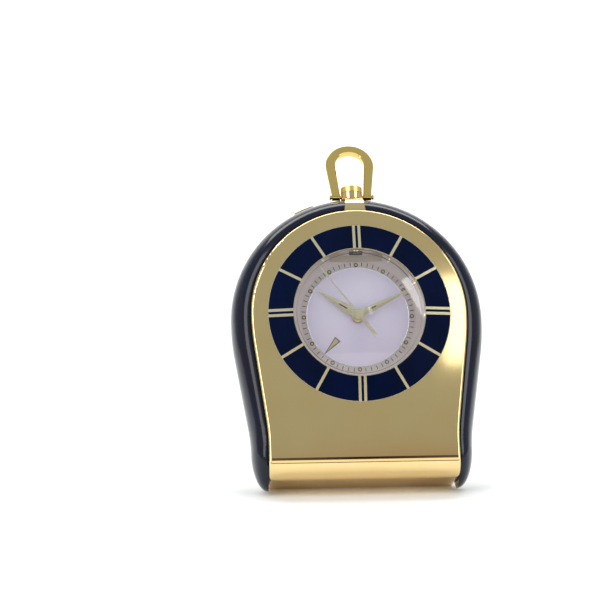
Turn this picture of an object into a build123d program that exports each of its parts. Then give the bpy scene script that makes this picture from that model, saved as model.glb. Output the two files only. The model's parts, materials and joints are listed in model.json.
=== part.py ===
from build123d import *
import math
import os

# Travel pendulette with a leaning stand, in millimetres.
# It is drawn in the frame of its face: x to the right, y into the clock, z up the face.
# The origin there is the middle of the dial, on the plane of the front plate.
# At the end every piece is leant back on the strut and set down on the floor.

# Case, which follows the hour ring
ring_radius = 20.0
plate_border = 3.6
foot_tuck = 3.1
chin = 16.1
flank_radius_share = 2.5
taper_angle = 7.7
flank_blend_share = 2.0
case_depth = 15.0
sheet = 1.0
roll_radius = 4.1
edge_round = 0.55
cover_edge_round = 0.4
band_bulge = 4.3
foot_bulge = 3.6
foot_tip_overhang = 1.6
band_half_depth = 6.3
band_wall = 1.2
groove_width = 0.45
groove_floor = 2.0

# Stance
lean_angle = 22.0
strut_open_angle = 32.0
foot_land_rise = 0.52

# Hour ring, lacquer and crystal
hour_field_length = 5.65
ring_rise = 0.75
ring_lip_width = 0.12
ring_edge_width = 0.12
ring_back = 1.6
ring_flange = 0.7
lacquer_depth = 0.3
hour_bar_width = 0.62
double_bar_gap = 0.55
crystal_flange = 0.85
crystal_seat = 0.1
crystal_thickness = 0.7
crystal_rise = 1.85
crystal_edge = -0.45
crystal_edge_clearance = 0.06

# Dial
dial_front = 4.0
dial_thickness = 0.4
dial_hidden_edge = 0.95
dial_cone_width = 2.6
dial_cone_rise = 1.1
dial_flat_width = 1.3
alarm_disc_thickness = 0.25
alarm_disc_clearance = 0.06
hour_dot_inset = 0.47
hour_dot_radius = 0.45
hour_dot_rise = 0.1
hour_mark_inset = 1.0
hour_mark_length = 0.5
hour_mark_width = 0.3
applique_rise = 0.12
name_plate_half_width = 5.9
name_plate_inset = 1.45
name_plate_height = 1.35
name_plate_slant = 0.45
pointer_angle = 222.5
pointer_inset = 0.7
pointer_length = 3.7
pointer_width = 1.1
pointer_rise = 0.08

# Hands, each with its level, its reach and the clock angle it shows
hand_thickness = 0.24
hand_ridge_slope = 0.14
hour_hand_front = 2.85
hour_hand_inset = 0.25
hour_hand_width = 2.0
hour_hand_angle = 303.5
minute_hand_front = 2.05
minute_hand_inset = 1.15
minute_hand_width = 1.7
minute_hand_angle = 64.0
hand_waist = 2.5
hand_root_width = 0.6
seconds_hand_front = 1.5
seconds_hand_inset = 1.15
seconds_hand_tail = 6.2
seconds_hand_width = 0.3
seconds_tail_width = 0.7
seconds_tail_start = 2.4
seconds_hand_angle = 323.0
hour_hub_radius = 1.45
minute_hub_radius = 1.0
seconds_hub_radius = 0.7
hub_height = 0.3
hub_rise = 0.1

# Pendant, crown and bow
pendant_height = 4.5
pendant_top_width = 3.6
pendant_foot_width = 4.7
pendant_crest = 5.0
pendant_overlap = 0.1
pendant_half_depth = 7.0
pendant_chamfer = 0.35
collar_radius = 2.42
collar_height = 1.65
crown_gap = 0.08
crown_height = 1.7
crown_dome = 0.25
crown_chamfer = 0.22
crown_pull = 0.9
bow_pivot_above_pendant = 1.0
bow_thickness = 1.65
bow_outer_radius = 5.45
bow_inner_radius = 3.3
bow_centre_height = 8.4
bow_foot_outer = 4.45
bow_foot_inner = 2.6
bow_chamfer = 0.28
bow_lean = 15.0
bow_screw_radius = 0.42
bow_screw_head_radius = 0.62
bow_screw_head_height = 0.4
bow_screw_reach = 1.3
bow_screw_head_gap = 0.15

# Stem and keyless work
stem_radius = 0.5
stem_bore = 0.6
stem_tail = 1.06
stem_groove_width = 0.4
stem_groove_depth = 0.18
stem_groove_rise = 1.89
winding_pinion_radius = 1.45
winding_pinion_teeth = 12
winding_pinion_width = 1.3
winding_tooth_depth = 0.3
setting_lever_reach = 2.6
setting_lever_width = 0.9
setting_lever_pin_radius = 0.12

# Alarm push piece
push_angle = 337.0
push_length = 4.6
push_width = 1.5
push_proud = 0.42
push_height = 0.9
push_stem_radius = 0.5
push_stem_reach = 5.0
push_travel = 0.4
push_spring_turns = 4
push_spring_depth = 1.4
push_spring_wire = 0.12
push_spring_radius = 0.85

# Movement frame
movement_ring_wall = 1.1
movement_ring_back = 8.0
plate_front = 6.1
plate_thickness = 1.15
plate_rim_width = 0.7
bridge_front = 10.05
bridge_thickness = 0.8
pillar_radius = 0.8
pivot_reach = 0.4
bridge_screw_radius = 0.45
bridge_screw_head_radius = 0.75
bridge_screw_head_height = 0.35
ratchet_thickness = 0.3
bridge_half_width = 1.1

# Toothed wheels, whose modules are shares of the dial plate's radius
fine_module_share = 0.0071895
middle_module_share = 0.0098039
coarse_module_share = 0.0130719
addendum_share = 0.8
dedendum_share = 1.15
tooth_root_share = 0.54
tooth_tip_share = 0.2
rim_width = 0.55
spoke_width = 0.45
wheel_thickness = 0.15
arbor_radius = 0.2
barrel_direction = 130.0
barrel_teeth = 78
centre_pinion_teeth = 12
barrel_front = 7.35
barrel_height = 1.6
centre_wheel_teeth = 80
third_pinion_teeth = 10
third_direction = 45.0
third_wheel_teeth = 75
fourth_pinion_teeth = 10
fourth_wheel_teeth = 80
escape_pinion_teeth = 8
escape_direction = -15.0
centre_wheel_front = 9.1
third_wheel_front = 9.4
fourth_wheel_front = 9.7
escape_wheel_front = 7.6
escape_radius_share = 0.17
escape_teeth = 15
escape_spokes = 4
escape_root_share = 0.78
escape_tooth_shares = (0.35, 0.45, 0.55)
pallet_distance_share = 0.196
pallet_reach_share = 0.45
pallet_lift_share = 0.15
balance_direction = -60.0
balance_distance_share = 0.575
balance_radius_share = 0.268
balance_rim = 0.6
balance_front = 8.75
balance_height = 0.55
balance_web = 0.37
balance_weight_count = 8
balance_weight_radius = 0.2
roller_radius = 0.7
roller_front = 8.25
hairspring_front = 9.5
hairspring_inner = 0.6
hairspring_pitch = 0.22
hairspring_turns = 7
hairspring_thickness = 0.06
hairspring_height = 0.15

# Motion work
cannon_teeth = 12
minute_wheel_teeth = 36
minute_pinion_teeth = 10
hour_wheel_teeth = 40
minute_direction = 90.0
cannon_front = 5.6
hour_wheel_front = 5.15
alarm_wheel_front = 4.65
alarm_wheel_teeth = 36
tube_wall = 0.28
inner_tube_wall = 0.21
tube_clearance = 0.05
seconds_arbor_radius = 0.16

# Winding wheels and alarm work
crown_wheel_teeth = 22
ratchet_teeth = 43
alarm_barrel_shares = (-0.5229, -0.2941)
alarm_barrel_radius_share = 0.2614
alarm_ratchet_teeth = 28
click_turn = 70.0
click_spread = 18.0
click_stud_gap = 0.6
hammer_place_shares = (-0.2092, -0.5882)
hammer_length_share = 0.2353
hammer_head_radius = 0.8
hammer_front = 8.0
hammer_height = 0.8
hammer_swing = 36.0
gong_stud_radius = 0.6
train_pillar_shares = ((0.6863, 0.1307), (0.3595, 0.6536))
barrel_pillar_shares = ((-0.3922, 0.7843), (-0.7974, 0.1046), (-0.5621, -0.6667))
balance_pillar_shares = ((0.7582, -0.4052),)
pallet_pillar_shares = ((0.5229, -0.2876),)

# Back and strut
strut_hinge_height = 5.0
strut_thickness = 1.1
strut_top_width = 15.0
strut_tip_width = 11.0
strut_side_gap = 0.35
strut_barrel_radius = 0.6
strut_pin_radius = 0.35
strut_ear_width = 2.2
recess_floor = 13.7
recess_wall = 0.9
finger_notch_radius = 4.0
post_radius = 1.6
post_inset = 2.7
post_angle = 45.0
post_rise = 7.2
cover_screw_radius = 0.5
cover_screw_head_radius = 0.95
cover_screw_head_height = 0.45
cover_screw_length = 4.5
slot_share = 0.22

# Clearances
fit_clearance = 0.03
running_clearance = 0.05
overrun = 2.0

# Turns
full_turn = 360
half_turn = 180

# Sizes that follow the hour ring
plate_radius = ring_radius + plate_border
foot_half_width = plate_radius - foot_tuck
base_drop = ring_radius + chin
flank_radius = ring_radius * flank_radius_share
flank_blend_radius = ring_radius * flank_blend_share
ring_opening_radius = ring_radius - hour_field_length
ring_flange_radius = ring_radius + ring_flange
crystal_seat_radius = ring_opening_radius + crystal_flange
pendant_top = plate_radius + pendant_height
post_drop = base_drop - post_rise

# Sizes that follow the dial plate
dial_radius = ring_opening_radius + dial_hidden_edge
dial_cone_radius = dial_radius - dial_cone_width
alarm_disc_radius = dial_cone_radius - dial_flat_width
hour_dot_circle = alarm_disc_radius + hour_dot_inset
hour_mark_circle = dial_radius - hour_mark_inset
name_plate_top = dial_radius - name_plate_inset
name_plate_bottom = name_plate_top - name_plate_height
pointer_tip = alarm_disc_radius - pointer_inset
pointer_base = pointer_tip - pointer_length
hour_hand_length = alarm_disc_radius - hour_hand_inset
minute_hand_length = dial_radius - minute_hand_inset
seconds_hand_length = dial_radius - seconds_hand_inset
movement_ring_radius = dial_radius + movement_ring_wall
train_module = dial_radius * fine_module_share
barrel_module = dial_radius * middle_module_share
hour_module = dial_radius * middle_module_share
alarm_module = dial_radius * coarse_module_share
winding_module = dial_radius * coarse_module_share
escape_wheel_radius = dial_radius * escape_radius_share
pallet_distance = dial_radius * pallet_distance_share
balance_distance = dial_radius * balance_distance_share
balance_radius = dial_radius * balance_radius_share
alarm_barrel_radius = dial_radius * alarm_barrel_radius_share
hammer_length = dial_radius * hammer_length_share


def on_dial(shares):
    """A place on the dial plate from its shares of the plate's radius."""
    return (dial_radius * shares[0], dial_radius * shares[1])


alarm_barrel_place = on_dial(alarm_barrel_shares)
hammer_place = on_dial(hammer_place_shares)
train_pillars = [on_dial(shares) for shares in train_pillar_shares]
barrel_pillars = [on_dial(shares) for shares in barrel_pillar_shares]
balance_pillars = [on_dial(shares) for shares in balance_pillar_shares]
pallet_pillars = [on_dial(shares) for shares in pallet_pillar_shares]

# Levels and places worked out from the sizes above
middle_depth = case_depth / 2
plate_back = plate_front + plate_thickness
bridge_back = bridge_front + bridge_thickness
third_distance = train_module * (centre_wheel_teeth + third_pinion_teeth) / 2
third_module = 2 * third_distance / (third_wheel_teeth + fourth_pinion_teeth)
escape_distance = train_module * (fourth_wheel_teeth + escape_pinion_teeth) / 2
barrel_distance = barrel_module * (barrel_teeth + centre_pinion_teeth) / 2
minute_distance = hour_module * (hour_wheel_teeth + minute_pinion_teeth) / 2
minute_module = 2 * minute_distance / (cannon_teeth + minute_wheel_teeth)
winding_distance = winding_module * (crown_wheel_teeth + ratchet_teeth) / 2
bow_pivot_height = pendant_top + bow_pivot_above_pendant
collar_top = pendant_top + collar_height
crown_bottom = collar_top + crown_gap
crown_top = crown_bottom + crown_height
strut_axis_depth = case_depth - strut_barrel_radius - running_clearance
pallet_cock_front = escape_wheel_front + wheel_thickness * 3
pallet_cock_back = pallet_cock_front + wheel_thickness * 2
lean = math.radians(lean_angle)
foot_land_centre = (
    0,
    case_depth - foot_land_rise / math.sin(lean) / 2,
    foot_land_rise / math.cos(lean) / 2 - base_drop,
)

# Tubes that carry the hands, each running on the one inside it
centre_tube_bore = seconds_arbor_radius + tube_clearance
centre_tube_radius = centre_tube_bore + inner_tube_wall
cannon_tube_bore = centre_tube_radius + tube_clearance
cannon_tube_radius = cannon_tube_bore + inner_tube_wall
hour_tube_bore = cannon_tube_radius + tube_clearance
hour_tube_radius = hour_tube_bore + tube_wall
alarm_tube_bore = hour_tube_radius + tube_clearance
alarm_tube_radius = alarm_tube_bore + tube_wall


def polar(distance, direction):
    angle = math.radians(direction)
    return (distance * math.cos(angle), distance * math.sin(angle))


barrel_place = polar(barrel_distance, barrel_direction)
third_place = polar(third_distance, third_direction)
escape_place = polar(escape_distance, escape_direction)
balance_place = polar(balance_distance, balance_direction)
minute_place = polar(minute_distance, minute_direction)
crown_wheel_place = (0, barrel_place[1] + math.sqrt(winding_distance**2 - barrel_place[0] ** 2))
winding_pinion_middle = crown_wheel_place[1] + winding_module * crown_wheel_teeth / 2
stem_bottom = winding_pinion_middle - stem_tail
stem_groove_height = winding_pinion_middle + stem_groove_rise
click_tip_radius = winding_module * (ratchet_teeth / 2 + 1) + arbor_radius


def shifted(place, distance, direction):
    step = polar(distance, direction)
    return (place[0] + step[0], place[1] + step[1])


setting_lever_pin_x = stem_radius + setting_lever_pin_radius - stem_groove_depth + running_clearance
setting_lever_place = (setting_lever_pin_x + setting_lever_reach, stem_groove_height + crown_pull / 2)


def direction_between(start, end):
    return math.degrees(math.atan2(end[1] - start[1], end[0] - start[0]))


click_stud_direction = barrel_direction + click_turn - click_spread
click_stud_place = shifted(barrel_place, click_tip_radius + click_stud_gap, click_stud_direction)
pallet_direction = direction_between(escape_place, balance_place)
pallet_place = shifted(escape_place, pallet_distance, pallet_direction)
strike_share = (hammer_head_radius + gong_stud_radius + running_clearance) / (2 * hammer_length)
strike_angle = hammer_swing + 2 * math.degrees(math.asin(strike_share))
gong_stud_place = shifted(hammer_place, hammer_length, strike_angle - 90)


def slab(face, front, back):
    """A flat shape drawn on the face, x right and z up, from one depth to another."""
    plane = Plane(origin=(0, back, 0), x_dir=(1, 0, 0), z_dir=(0, -1, 0))
    return extrude(plane * face, amount=back - front)


def turned(points, place=(0, 0)):
    """A shape turned about an axis square to the face, from points of radius and depth."""
    profile = make_face(Polyline(*points, close=True))
    return Pos(place[0], 0, place[1]) * revolve(profile, axis=Axis.Y)


def drum(radius, front, back, place=(0, 0)):
    return slab(Pos(*place) * Circle(radius), front, back)


def upright_bar(radius, bottom, top, depth):
    alignment = (Align.CENTER, Align.CENTER, Align.MIN)
    return Pos(0, depth, bottom) * Cylinder(radius, top - bottom, align=alignment)


def clock_turn(angle):
    return Rot(0, 0, -angle)


# Case


def flank_points(offset):
    """Where the flank of the outline changes, at a distance outside the front plate's edge."""
    angle = math.radians(taper_angle)
    centre = plate_radius - flank_radius
    radius = flank_radius + offset
    blend = flank_blend_radius - offset
    blend_centre = foot_half_width + flank_blend_radius
    flank_middle = (centre + radius * math.cos(angle / 2), -radius * math.sin(angle / 2))
    taper_start = (centre + radius * math.cos(angle), -radius * math.sin(angle))
    taper_end_x = blend_centre - blend * math.cos(angle)
    taper_end = (taper_end_x, taper_start[1] - (taper_start[0] - taper_end_x) / math.tan(angle))
    blend_centre_z = taper_end[1] - blend * math.sin(angle)
    blend_middle = (blend_centre - blend * math.cos(angle / 2), blend_centre_z + blend * math.sin(angle / 2))
    foot_start = (foot_half_width + offset, blend_centre_z)
    return flank_middle, taper_start, taper_end, blend_middle, foot_start


def flank_edges(offset, side):
    points = [(side * x, z) for x, z in flank_points(offset)]
    shoulder = (side * (plate_radius + offset), 0)
    return [
        ThreePointArc(shoulder, points[0], points[1]),
        Line(points[1], points[2]),
        ThreePointArc(points[2], points[3], points[4]),
    ]


def arch_edge(offset):
    radius = plate_radius + offset
    return ThreePointArc((-radius, 0), (0, radius), (radius, 0))


def outline_face(offset, bottom):
    edges = [arch_edge(offset)]
    for side in (1, -1):
        edges += flank_edges(offset, side)
        foot_x = side * (foot_half_width + offset)
        edges.append(Line((foot_x, foot_tip_start), (foot_x, bottom)))
    edges.append(Line((-foot_half_width - offset, bottom), (foot_half_width + offset, bottom)))
    return make_face(edges)


foot_tip_start = flank_points(0)[4][1]
foot_tip_length = base_drop + foot_tip_start + foot_tip_overhang


def side_block(inset, back, half_width):
    """The room inside the front plate's rolled sheet, seen from the side and drawn out in x."""
    bottom = inset - base_drop
    roll = roll_radius - inset
    corner = roll * math.sqrt(2) / 2
    top = plate_radius + overrun
    edges = [
        Line((inset, top), (inset, roll_radius - base_drop)),
        ThreePointArc(
            (inset, roll_radius - base_drop),
            (roll_radius - corner, roll_radius - base_drop - corner),
            (roll_radius, bottom),
        ),
        Line((roll_radius, bottom), (back, bottom)),
        Line((back, bottom), (back, top)),
        Line((back, top), (inset, top)),
    ]
    return extrude(Plane.YZ * make_face(edges), amount=half_width, both=True)


def band_section(bulge_width):
    """The section of the lacquered band: wall, shadow groove and pebble bulge, off the plate's edge."""
    limit = math.degrees(math.acos(groove_width / bulge_width))
    bulge = EllipticalCenterArc(
        (0, middle_depth), bulge_width, band_half_depth, start_angle=-limit, arc_size=2 * limit
    )
    wall = Polyline(
        bulge @ 1,
        (groove_width, case_depth - groove_floor),
        (0, case_depth - groove_floor),
        (0, case_depth - sheet),
        (-band_wall, case_depth - sheet),
        (-band_wall, sheet),
        (0, sheet),
        (0, groove_floor),
        (groove_width, groove_floor),
        bulge @ 0,
    )
    return make_face([bulge, wall])


def wire_on_face(edges):
    plane = Plane(origin=(0, 0, 0), x_dir=(1, 0, 0), z_dir=(0, -1, 0))
    return Wire([plane.from_local_coords(edge.edge()) for edge in edges])


def taper_section():
    """The full section, set across the right flank where its straight taper starts."""
    x, z = flank_points(0)[1]
    return Pos(x, 0, z) * (Rot(0, taper_angle, 0) * band_section(band_bulge))


def upper_band():
    """The band over the arch and down to the start of both tapers."""
    edges = [flank_edges(0, -1)[0], arch_edge(0), flank_edges(0, 1)[0]]
    return sweep(taper_section(), path=wire_on_face(edges))


def lower_band(side):
    """The band along one taper, where its bulge grows slimmer toward the foot."""
    foot = Pos(foot_half_width, 0, foot_tip_start) * band_section(foot_bulge)
    flank = sweep([taper_section(), foot], path=wire_on_face(flank_edges(0, 1)[1:]), multisection=True)
    return flank if side > 0 else mirror(flank, about=Plane.YZ)


def foot_tip(side):
    """The band's rounded tip: a quarter of an ellipsoid that hugs the plate's side."""
    ball = scale(Sphere(1), by=(foot_bulge, band_half_depth, foot_tip_length))
    keep = Box(foot_bulge, case_depth, foot_tip_length, align=(Align.MIN, Align.CENTER, Align.MAX))
    tip = Pos(foot_half_width, middle_depth, foot_tip_start) * (ball & keep)
    for depth in (0, case_depth):
        tip -= Pos(foot_half_width, depth, foot_tip_start) * Box(
            2 * groove_width, 2 * groove_floor, 2 * foot_tip_length
        )
    wall_height = foot_tip_start + base_drop - sheet
    wall = Pos(foot_half_width, 0, foot_tip_start) * Box(
        band_wall, case_depth - sheet, wall_height, align=(Align.MAX, Align.MIN, Align.MAX)
    )
    wall &= side_block(sheet, case_depth - sheet, plate_radius)
    foot = tip + wall
    return foot if side > 0 else mirror(foot, about=Plane.YZ)


def post_places():
    reach = plate_radius - post_inset
    upper = polar(reach, post_angle)
    lower = foot_half_width - post_inset
    return [(upper[0], upper[1]), (-upper[0], upper[1]), (lower, -post_drop), (-lower, -post_drop)]


def make_case_middle():
    shape = upper_band()
    for side in (1, -1):
        shape += lower_band(side) + foot_tip(side)
    for place in post_places():
        post = drum(post_radius, ring_back + running_clearance, case_depth - sheet, place)
        shape += post
        shape -= drum(
            cover_screw_radius + fit_clearance, case_depth - sheet - cover_screw_length, case_depth, place
        )
    shape -= upright_bar(stem_bore, 0, pendant_top, middle_depth)
    return shape - push_piece_room()


def make_front_plate():
    shape = side_block(0, case_depth, plate_radius + overrun)
    shape -= side_block(sheet, case_depth + overrun, plate_radius + 2 * overrun)
    shape &= slab(outline_face(0, -base_drop - overrun), -overrun, case_depth + overrun)
    shape -= drum(ring_radius + fit_clearance, -overrun, sheet + overrun)
    front_edges = shape.edges().filter_by(edge_is_front)
    shape = fillet(front_edges, edge_round)
    return shape - floor_block()


def edge_is_front(edge):
    """True on the outer border of the plate's show side, round the arch and along the roll."""
    middle = edge @ 0.5
    on_face = abs(middle.Y) < fit_clearance and Vector(middle.X, 0, middle.Z).length > ring_radius + sheet
    beside_roll = abs(abs(middle.X) - foot_half_width) < fit_clearance
    depth = roll_radius - middle.Y
    drop = middle.Z + base_drop - roll_radius
    on_roll = beside_roll and abs(math.hypot(depth, drop) - roll_radius) < fit_clearance
    return on_face or on_roll


def floor_block():
    """Everything under the floor that the leaning clock stands on, in the frame of the face."""
    size = 4 * base_drop
    block = Box(size, size, size, align=(Align.CENTER, Align.CENTER, Align.MAX))
    return Pos(*foot_land_centre) * (Rot(lean_angle, 0, 0) * block)


# Hour ring and crystal


def cone_front(radius):
    """Depth of the hour ring's coned front at a radius."""
    share = (ring_radius - radius) / (ring_radius - ring_opening_radius - ring_lip_width)
    return -ring_rise * share


def hour_fields():
    """The lacquered fields between the hour bars, as one flat shape."""
    outer = ring_radius - ring_edge_width
    inner = ring_opening_radius + ring_lip_width
    fields = Circle(outer) - Circle(inner)
    for hour in range(12):
        shift = (hour_bar_width + double_bar_gap) / 2
        places = (-shift, shift) if hour % 3 == 0 else (0,)
        for place in places:
            bar = Pos(place, ring_radius) * Rectangle(hour_bar_width, ring_radius)
            fields -= clock_turn(30 * hour) * bar
    return fields


def lacquer_layer():
    inner = ring_opening_radius + ring_lip_width
    outer = ring_radius
    return turned(
        [
            (inner, cone_front(inner)),
            (outer, cone_front(outer)),
            (outer, cone_front(outer) + lacquer_depth),
            (inner, cone_front(inner) + lacquer_depth),
        ]
    )


def make_lacquer_inlays():
    return slab(hour_fields(), -ring_rise - overrun, ring_back) & lacquer_layer()


def make_hour_ring():
    lip = ring_opening_radius + ring_lip_width
    lip_front = cone_front(lip)
    shape = turned(
        [
            (ring_radius, 0),
            (lip, lip_front),
            (ring_opening_radius, lip_front),
            (ring_opening_radius, crystal_seat),
            (crystal_seat_radius + fit_clearance, crystal_seat),
            (crystal_seat_radius + fit_clearance, ring_back),
            (ring_flange_radius, ring_back),
            (ring_flange_radius, sheet),
            (ring_radius, sheet),
        ]
    )
    return shape - make_lacquer_inlays()


def make_crystal():
    inside = ring_opening_radius - crystal_edge_clearance
    radius = (inside**2 + crystal_rise**2) / (2 * crystal_rise)
    sphere_middle = crystal_edge - crystal_rise + radius
    dome = Pos(0, sphere_middle, 0) * (Sphere(radius) - Sphere(radius - crystal_thickness))
    dome &= drum(inside, crystal_edge - crystal_rise - overrun, crystal_edge + crystal_thickness)
    flange = turned(
        [
            (inside - crystal_thickness, crystal_edge),
            (inside, crystal_edge),
            (inside, crystal_seat),
            (crystal_seat_radius, crystal_seat),
            (crystal_seat_radius, crystal_seat + crystal_thickness),
            (inside - crystal_thickness, crystal_seat + crystal_thickness),
        ]
    )
    return dome + flange


def make_crystal_retaining_ring():
    front = crystal_seat + crystal_thickness
    hole = drum(ring_opening_radius, front - overrun, ring_back + overrun)
    return drum(crystal_seat_radius, front, ring_back) - hole


# Dial and hands


def dial_surface(radius):
    share = (radius - dial_cone_radius) / (dial_radius - dial_cone_radius)
    return dial_front - dial_cone_rise * max(share, 0)


def dial_layer(rise):
    """The room from the dial's surface to a height in front of it."""
    return turned(
        [
            (0, dial_front),
            (dial_cone_radius, dial_front),
            (dial_radius, dial_surface(dial_radius)),
            (dial_radius, dial_surface(dial_radius) - rise),
            (dial_cone_radius, dial_front - rise),
            (0, dial_front - rise),
        ]
    )


def make_dial_plate():
    inner = alarm_disc_radius + alarm_disc_clearance
    return turned(
        [
            (inner, dial_front),
            (dial_cone_radius, dial_front),
            (dial_radius, dial_surface(dial_radius)),
            (dial_radius, dial_front + dial_thickness),
            (inner, dial_front + dial_thickness),
        ]
    )


def name_plate_face():
    return make_face(
        Polyline(
            (-name_plate_half_width, name_plate_bottom),
            (name_plate_half_width, name_plate_bottom),
            (name_plate_half_width - name_plate_slant, name_plate_top),
            (name_plate_slant - name_plate_half_width, name_plate_top),
            close=True,
        )
    )


def make_name_plate():
    return slab(name_plate_face(), -overrun, dial_front) & dial_layer(applique_rise)


def make_hour_dots():
    dots = []
    for hour in range(12):
        angle = math.radians(30 * hour)
        place = (hour_dot_circle * math.sin(angle), hour_dot_circle * math.cos(angle))
        edge_front = dial_front - hour_dot_rise / 2
        dots.append(
            turned(
                [
                    (0, dial_front),
                    (hour_dot_radius, dial_front),
                    (hour_dot_radius, edge_front),
                    (hour_dot_radius / 2, dial_front - hour_dot_rise),
                    (0, dial_front - hour_dot_rise),
                ],
                place,
            )
        )
    return Compound(children=dots)


def make_hour_marks():
    marks = Sketch()
    for hour in range(1, 12):
        mark = Pos(0, hour_mark_circle) * Rectangle(hour_mark_width, hour_mark_length)
        marks += clock_turn(30 * hour) * mark
    upper = name_plate_top + hour_mark_length
    for side in (-1, 1):
        marks += Pos(side * hour_mark_width, upper) * Rectangle(hour_mark_width, hour_mark_length)
    return slab(marks, -overrun, dial_front) & dial_layer(applique_rise)


def make_alarm_disc():
    back = dial_front + alarm_disc_thickness
    return drum(alarm_disc_radius, dial_front, back) - drum(alarm_tube_radius, 0, back + overrun)


def make_alarm_pointer():
    half = pointer_width / 2
    triangle = make_face(Polyline((0, pointer_tip), (half, pointer_base), (-half, pointer_base), close=True))
    return slab(clock_turn(pointer_angle) * triangle, dial_front - pointer_rise, dial_front)


def ridged_hand(length, width, front, hub_radius, seat, passage, angle):
    """A tapering hand with a ridge down its middle; its hub sits on a tube that others pass through."""
    half_width = width / 2
    half_root = hand_root_width / 2
    outline = make_face(
        Polyline(
            (0, length),
            (half_width, hand_waist),
            (half_root, 0),
            (-half_root, 0),
            (-half_width, hand_waist),
            close=True,
        )
    )
    blade = slab(outline, front, front + hand_thickness)
    fall = hand_ridge_slope * half_width
    roof = make_face(
        Polyline(
            (0, front),
            (half_width, front + fall),
            (half_width, front + hand_thickness),
            (-half_width, front + hand_thickness),
            (-half_width, front + fall),
            close=True,
        )
    )
    blade &= extrude(roof, amount=length)
    hub = drum(hub_radius, front - hub_rise, front + hub_height)
    shape = Rot(0, angle, 0) * blade + hub
    shape -= drum(passage, front - overrun, front + overrun)
    return shape - drum(seat, front, front + overrun)


def make_hour_hand():
    return ridged_hand(
        hour_hand_length,
        hour_hand_width,
        hour_hand_front,
        hour_hub_radius,
        hour_tube_radius,
        hour_tube_bore,
        hour_hand_angle,
    )


def make_minute_hand():
    return ridged_hand(
        minute_hand_length,
        minute_hand_width,
        minute_hand_front,
        minute_hub_radius,
        cannon_tube_radius,
        centre_tube_bore,
        minute_hand_angle,
    )


def make_seconds_hand():
    front = seconds_hand_front
    needle = Pos(0, seconds_hand_length / 2) * Rectangle(seconds_hand_width, seconds_hand_length)
    tail_length = seconds_hand_tail - seconds_tail_start
    tail_middle = -(seconds_hand_tail + seconds_tail_start) / 2
    tail = Pos(0, tail_middle) * Rectangle(seconds_tail_width, tail_length)
    neck = Pos(0, -seconds_tail_start / 2) * Rectangle(seconds_hand_width, seconds_tail_start)
    blade = slab(clock_turn(seconds_hand_angle) * (needle + neck + tail), front, front + hand_thickness / 2)
    hub = drum(seconds_hub_radius, front - hub_rise, front + hub_height)
    return blade + hub - drum(seconds_arbor_radius, front, front + overrun)


# Toothed wheels


def gear_face(teeth, module, phase):
    pitch = teeth * module / 2
    tip = pitch + addendum_share * module
    root = pitch - dedendum_share * module
    step = full_turn / teeth
    points = []
    for tooth in range(teeth):
        middle = phase + step * tooth
        points.append(polar(root, middle - step * tooth_root_share / 2))
        points.append(polar(tip, middle - step * tooth_tip_share / 2))
        points.append(polar(tip, middle + step * tooth_tip_share / 2))
        points.append(polar(root, middle + step * tooth_root_share / 2))
    return make_face(Polyline(*points, close=True))


def meshed_phase(phase, teeth, direction, other_teeth):
    """Tooth angle of a wheel that meshes with one whose tooth angle and direction are known."""
    share = ((direction - phase) * teeth / full_turn) % 1
    return direction + half_turn - (1 / 2 - share) * full_turn / other_teeth


def spoke_windows(teeth, module, hub_radius, spokes):
    outer = teeth * module / 2 - rim_width
    windows = Circle(outer) - Circle(hub_radius + rim_width)
    for spoke in range(spokes):
        arm = Pos(outer / 2, 0) * Rectangle(outer, spoke_width)
        windows -= Rot(0, 0, full_turn * spoke / spokes) * arm
    return windows


def spoked_wheel(teeth, module, phase, front, place, hub_radius, spokes=4, thickness=wheel_thickness):
    face = gear_face(teeth, module, phase) - spoke_windows(teeth, module, hub_radius, spokes)
    return slab(Pos(*place) * face, front, front + thickness)


def pinion(teeth, module, phase, front, back, place=(0, 0)):
    return slab(Pos(*place) * gear_face(teeth, module, phase), front, back)


def arbor(place, front, back, radius=arbor_radius):
    return drum(radius, front, back, place)


# Tooth angles, each wheel set in mesh with the one before it
fourth_phase = 0
third_wheel_phase = meshed_phase(fourth_phase, fourth_pinion_teeth, third_direction, third_wheel_teeth)
third_pinion_phase = 0
centre_wheel_phase = meshed_phase(
    third_pinion_phase, third_pinion_teeth, third_direction + half_turn, centre_wheel_teeth
)
centre_pinion_phase = 0
barrel_phase = meshed_phase(centre_pinion_phase, centre_pinion_teeth, barrel_direction, barrel_teeth)
fourth_wheel_phase = 0
escape_pinion_phase = meshed_phase(
    fourth_wheel_phase, fourth_wheel_teeth, escape_direction, escape_pinion_teeth
)
cannon_phase = 0
minute_wheel_phase = meshed_phase(cannon_phase, cannon_teeth, minute_direction, minute_wheel_teeth)
minute_pinion_phase = 0
hour_wheel_phase = meshed_phase(
    minute_pinion_phase, minute_pinion_teeth, minute_direction + half_turn, hour_wheel_teeth
)
crown_wheel_phase = 0
ratchet_direction = direction_between(crown_wheel_place, barrel_place)
ratchet_phase = meshed_phase(crown_wheel_phase, crown_wheel_teeth, ratchet_direction, ratchet_teeth)


def make_going_barrel():
    place = barrel_place
    face = gear_face(barrel_teeth, barrel_module, barrel_phase) - Circle(arbor_radius * 2 + running_clearance)
    teeth = slab(Pos(*place) * face, barrel_front, barrel_front + 2 * wheel_thickness)
    outer = barrel_module * barrel_teeth / 2 - 3 * barrel_module
    inner = outer - rim_width
    back = barrel_front + barrel_height
    wall = drum(outer, barrel_front, back, place) - drum(inner, 0, back + overrun, place)
    lid = drum(outer, back - wheel_thickness, back, place)
    lid -= drum(arbor_radius * 2 + running_clearance, 0, back + overrun, place)
    return teeth + wall + lid


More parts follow.
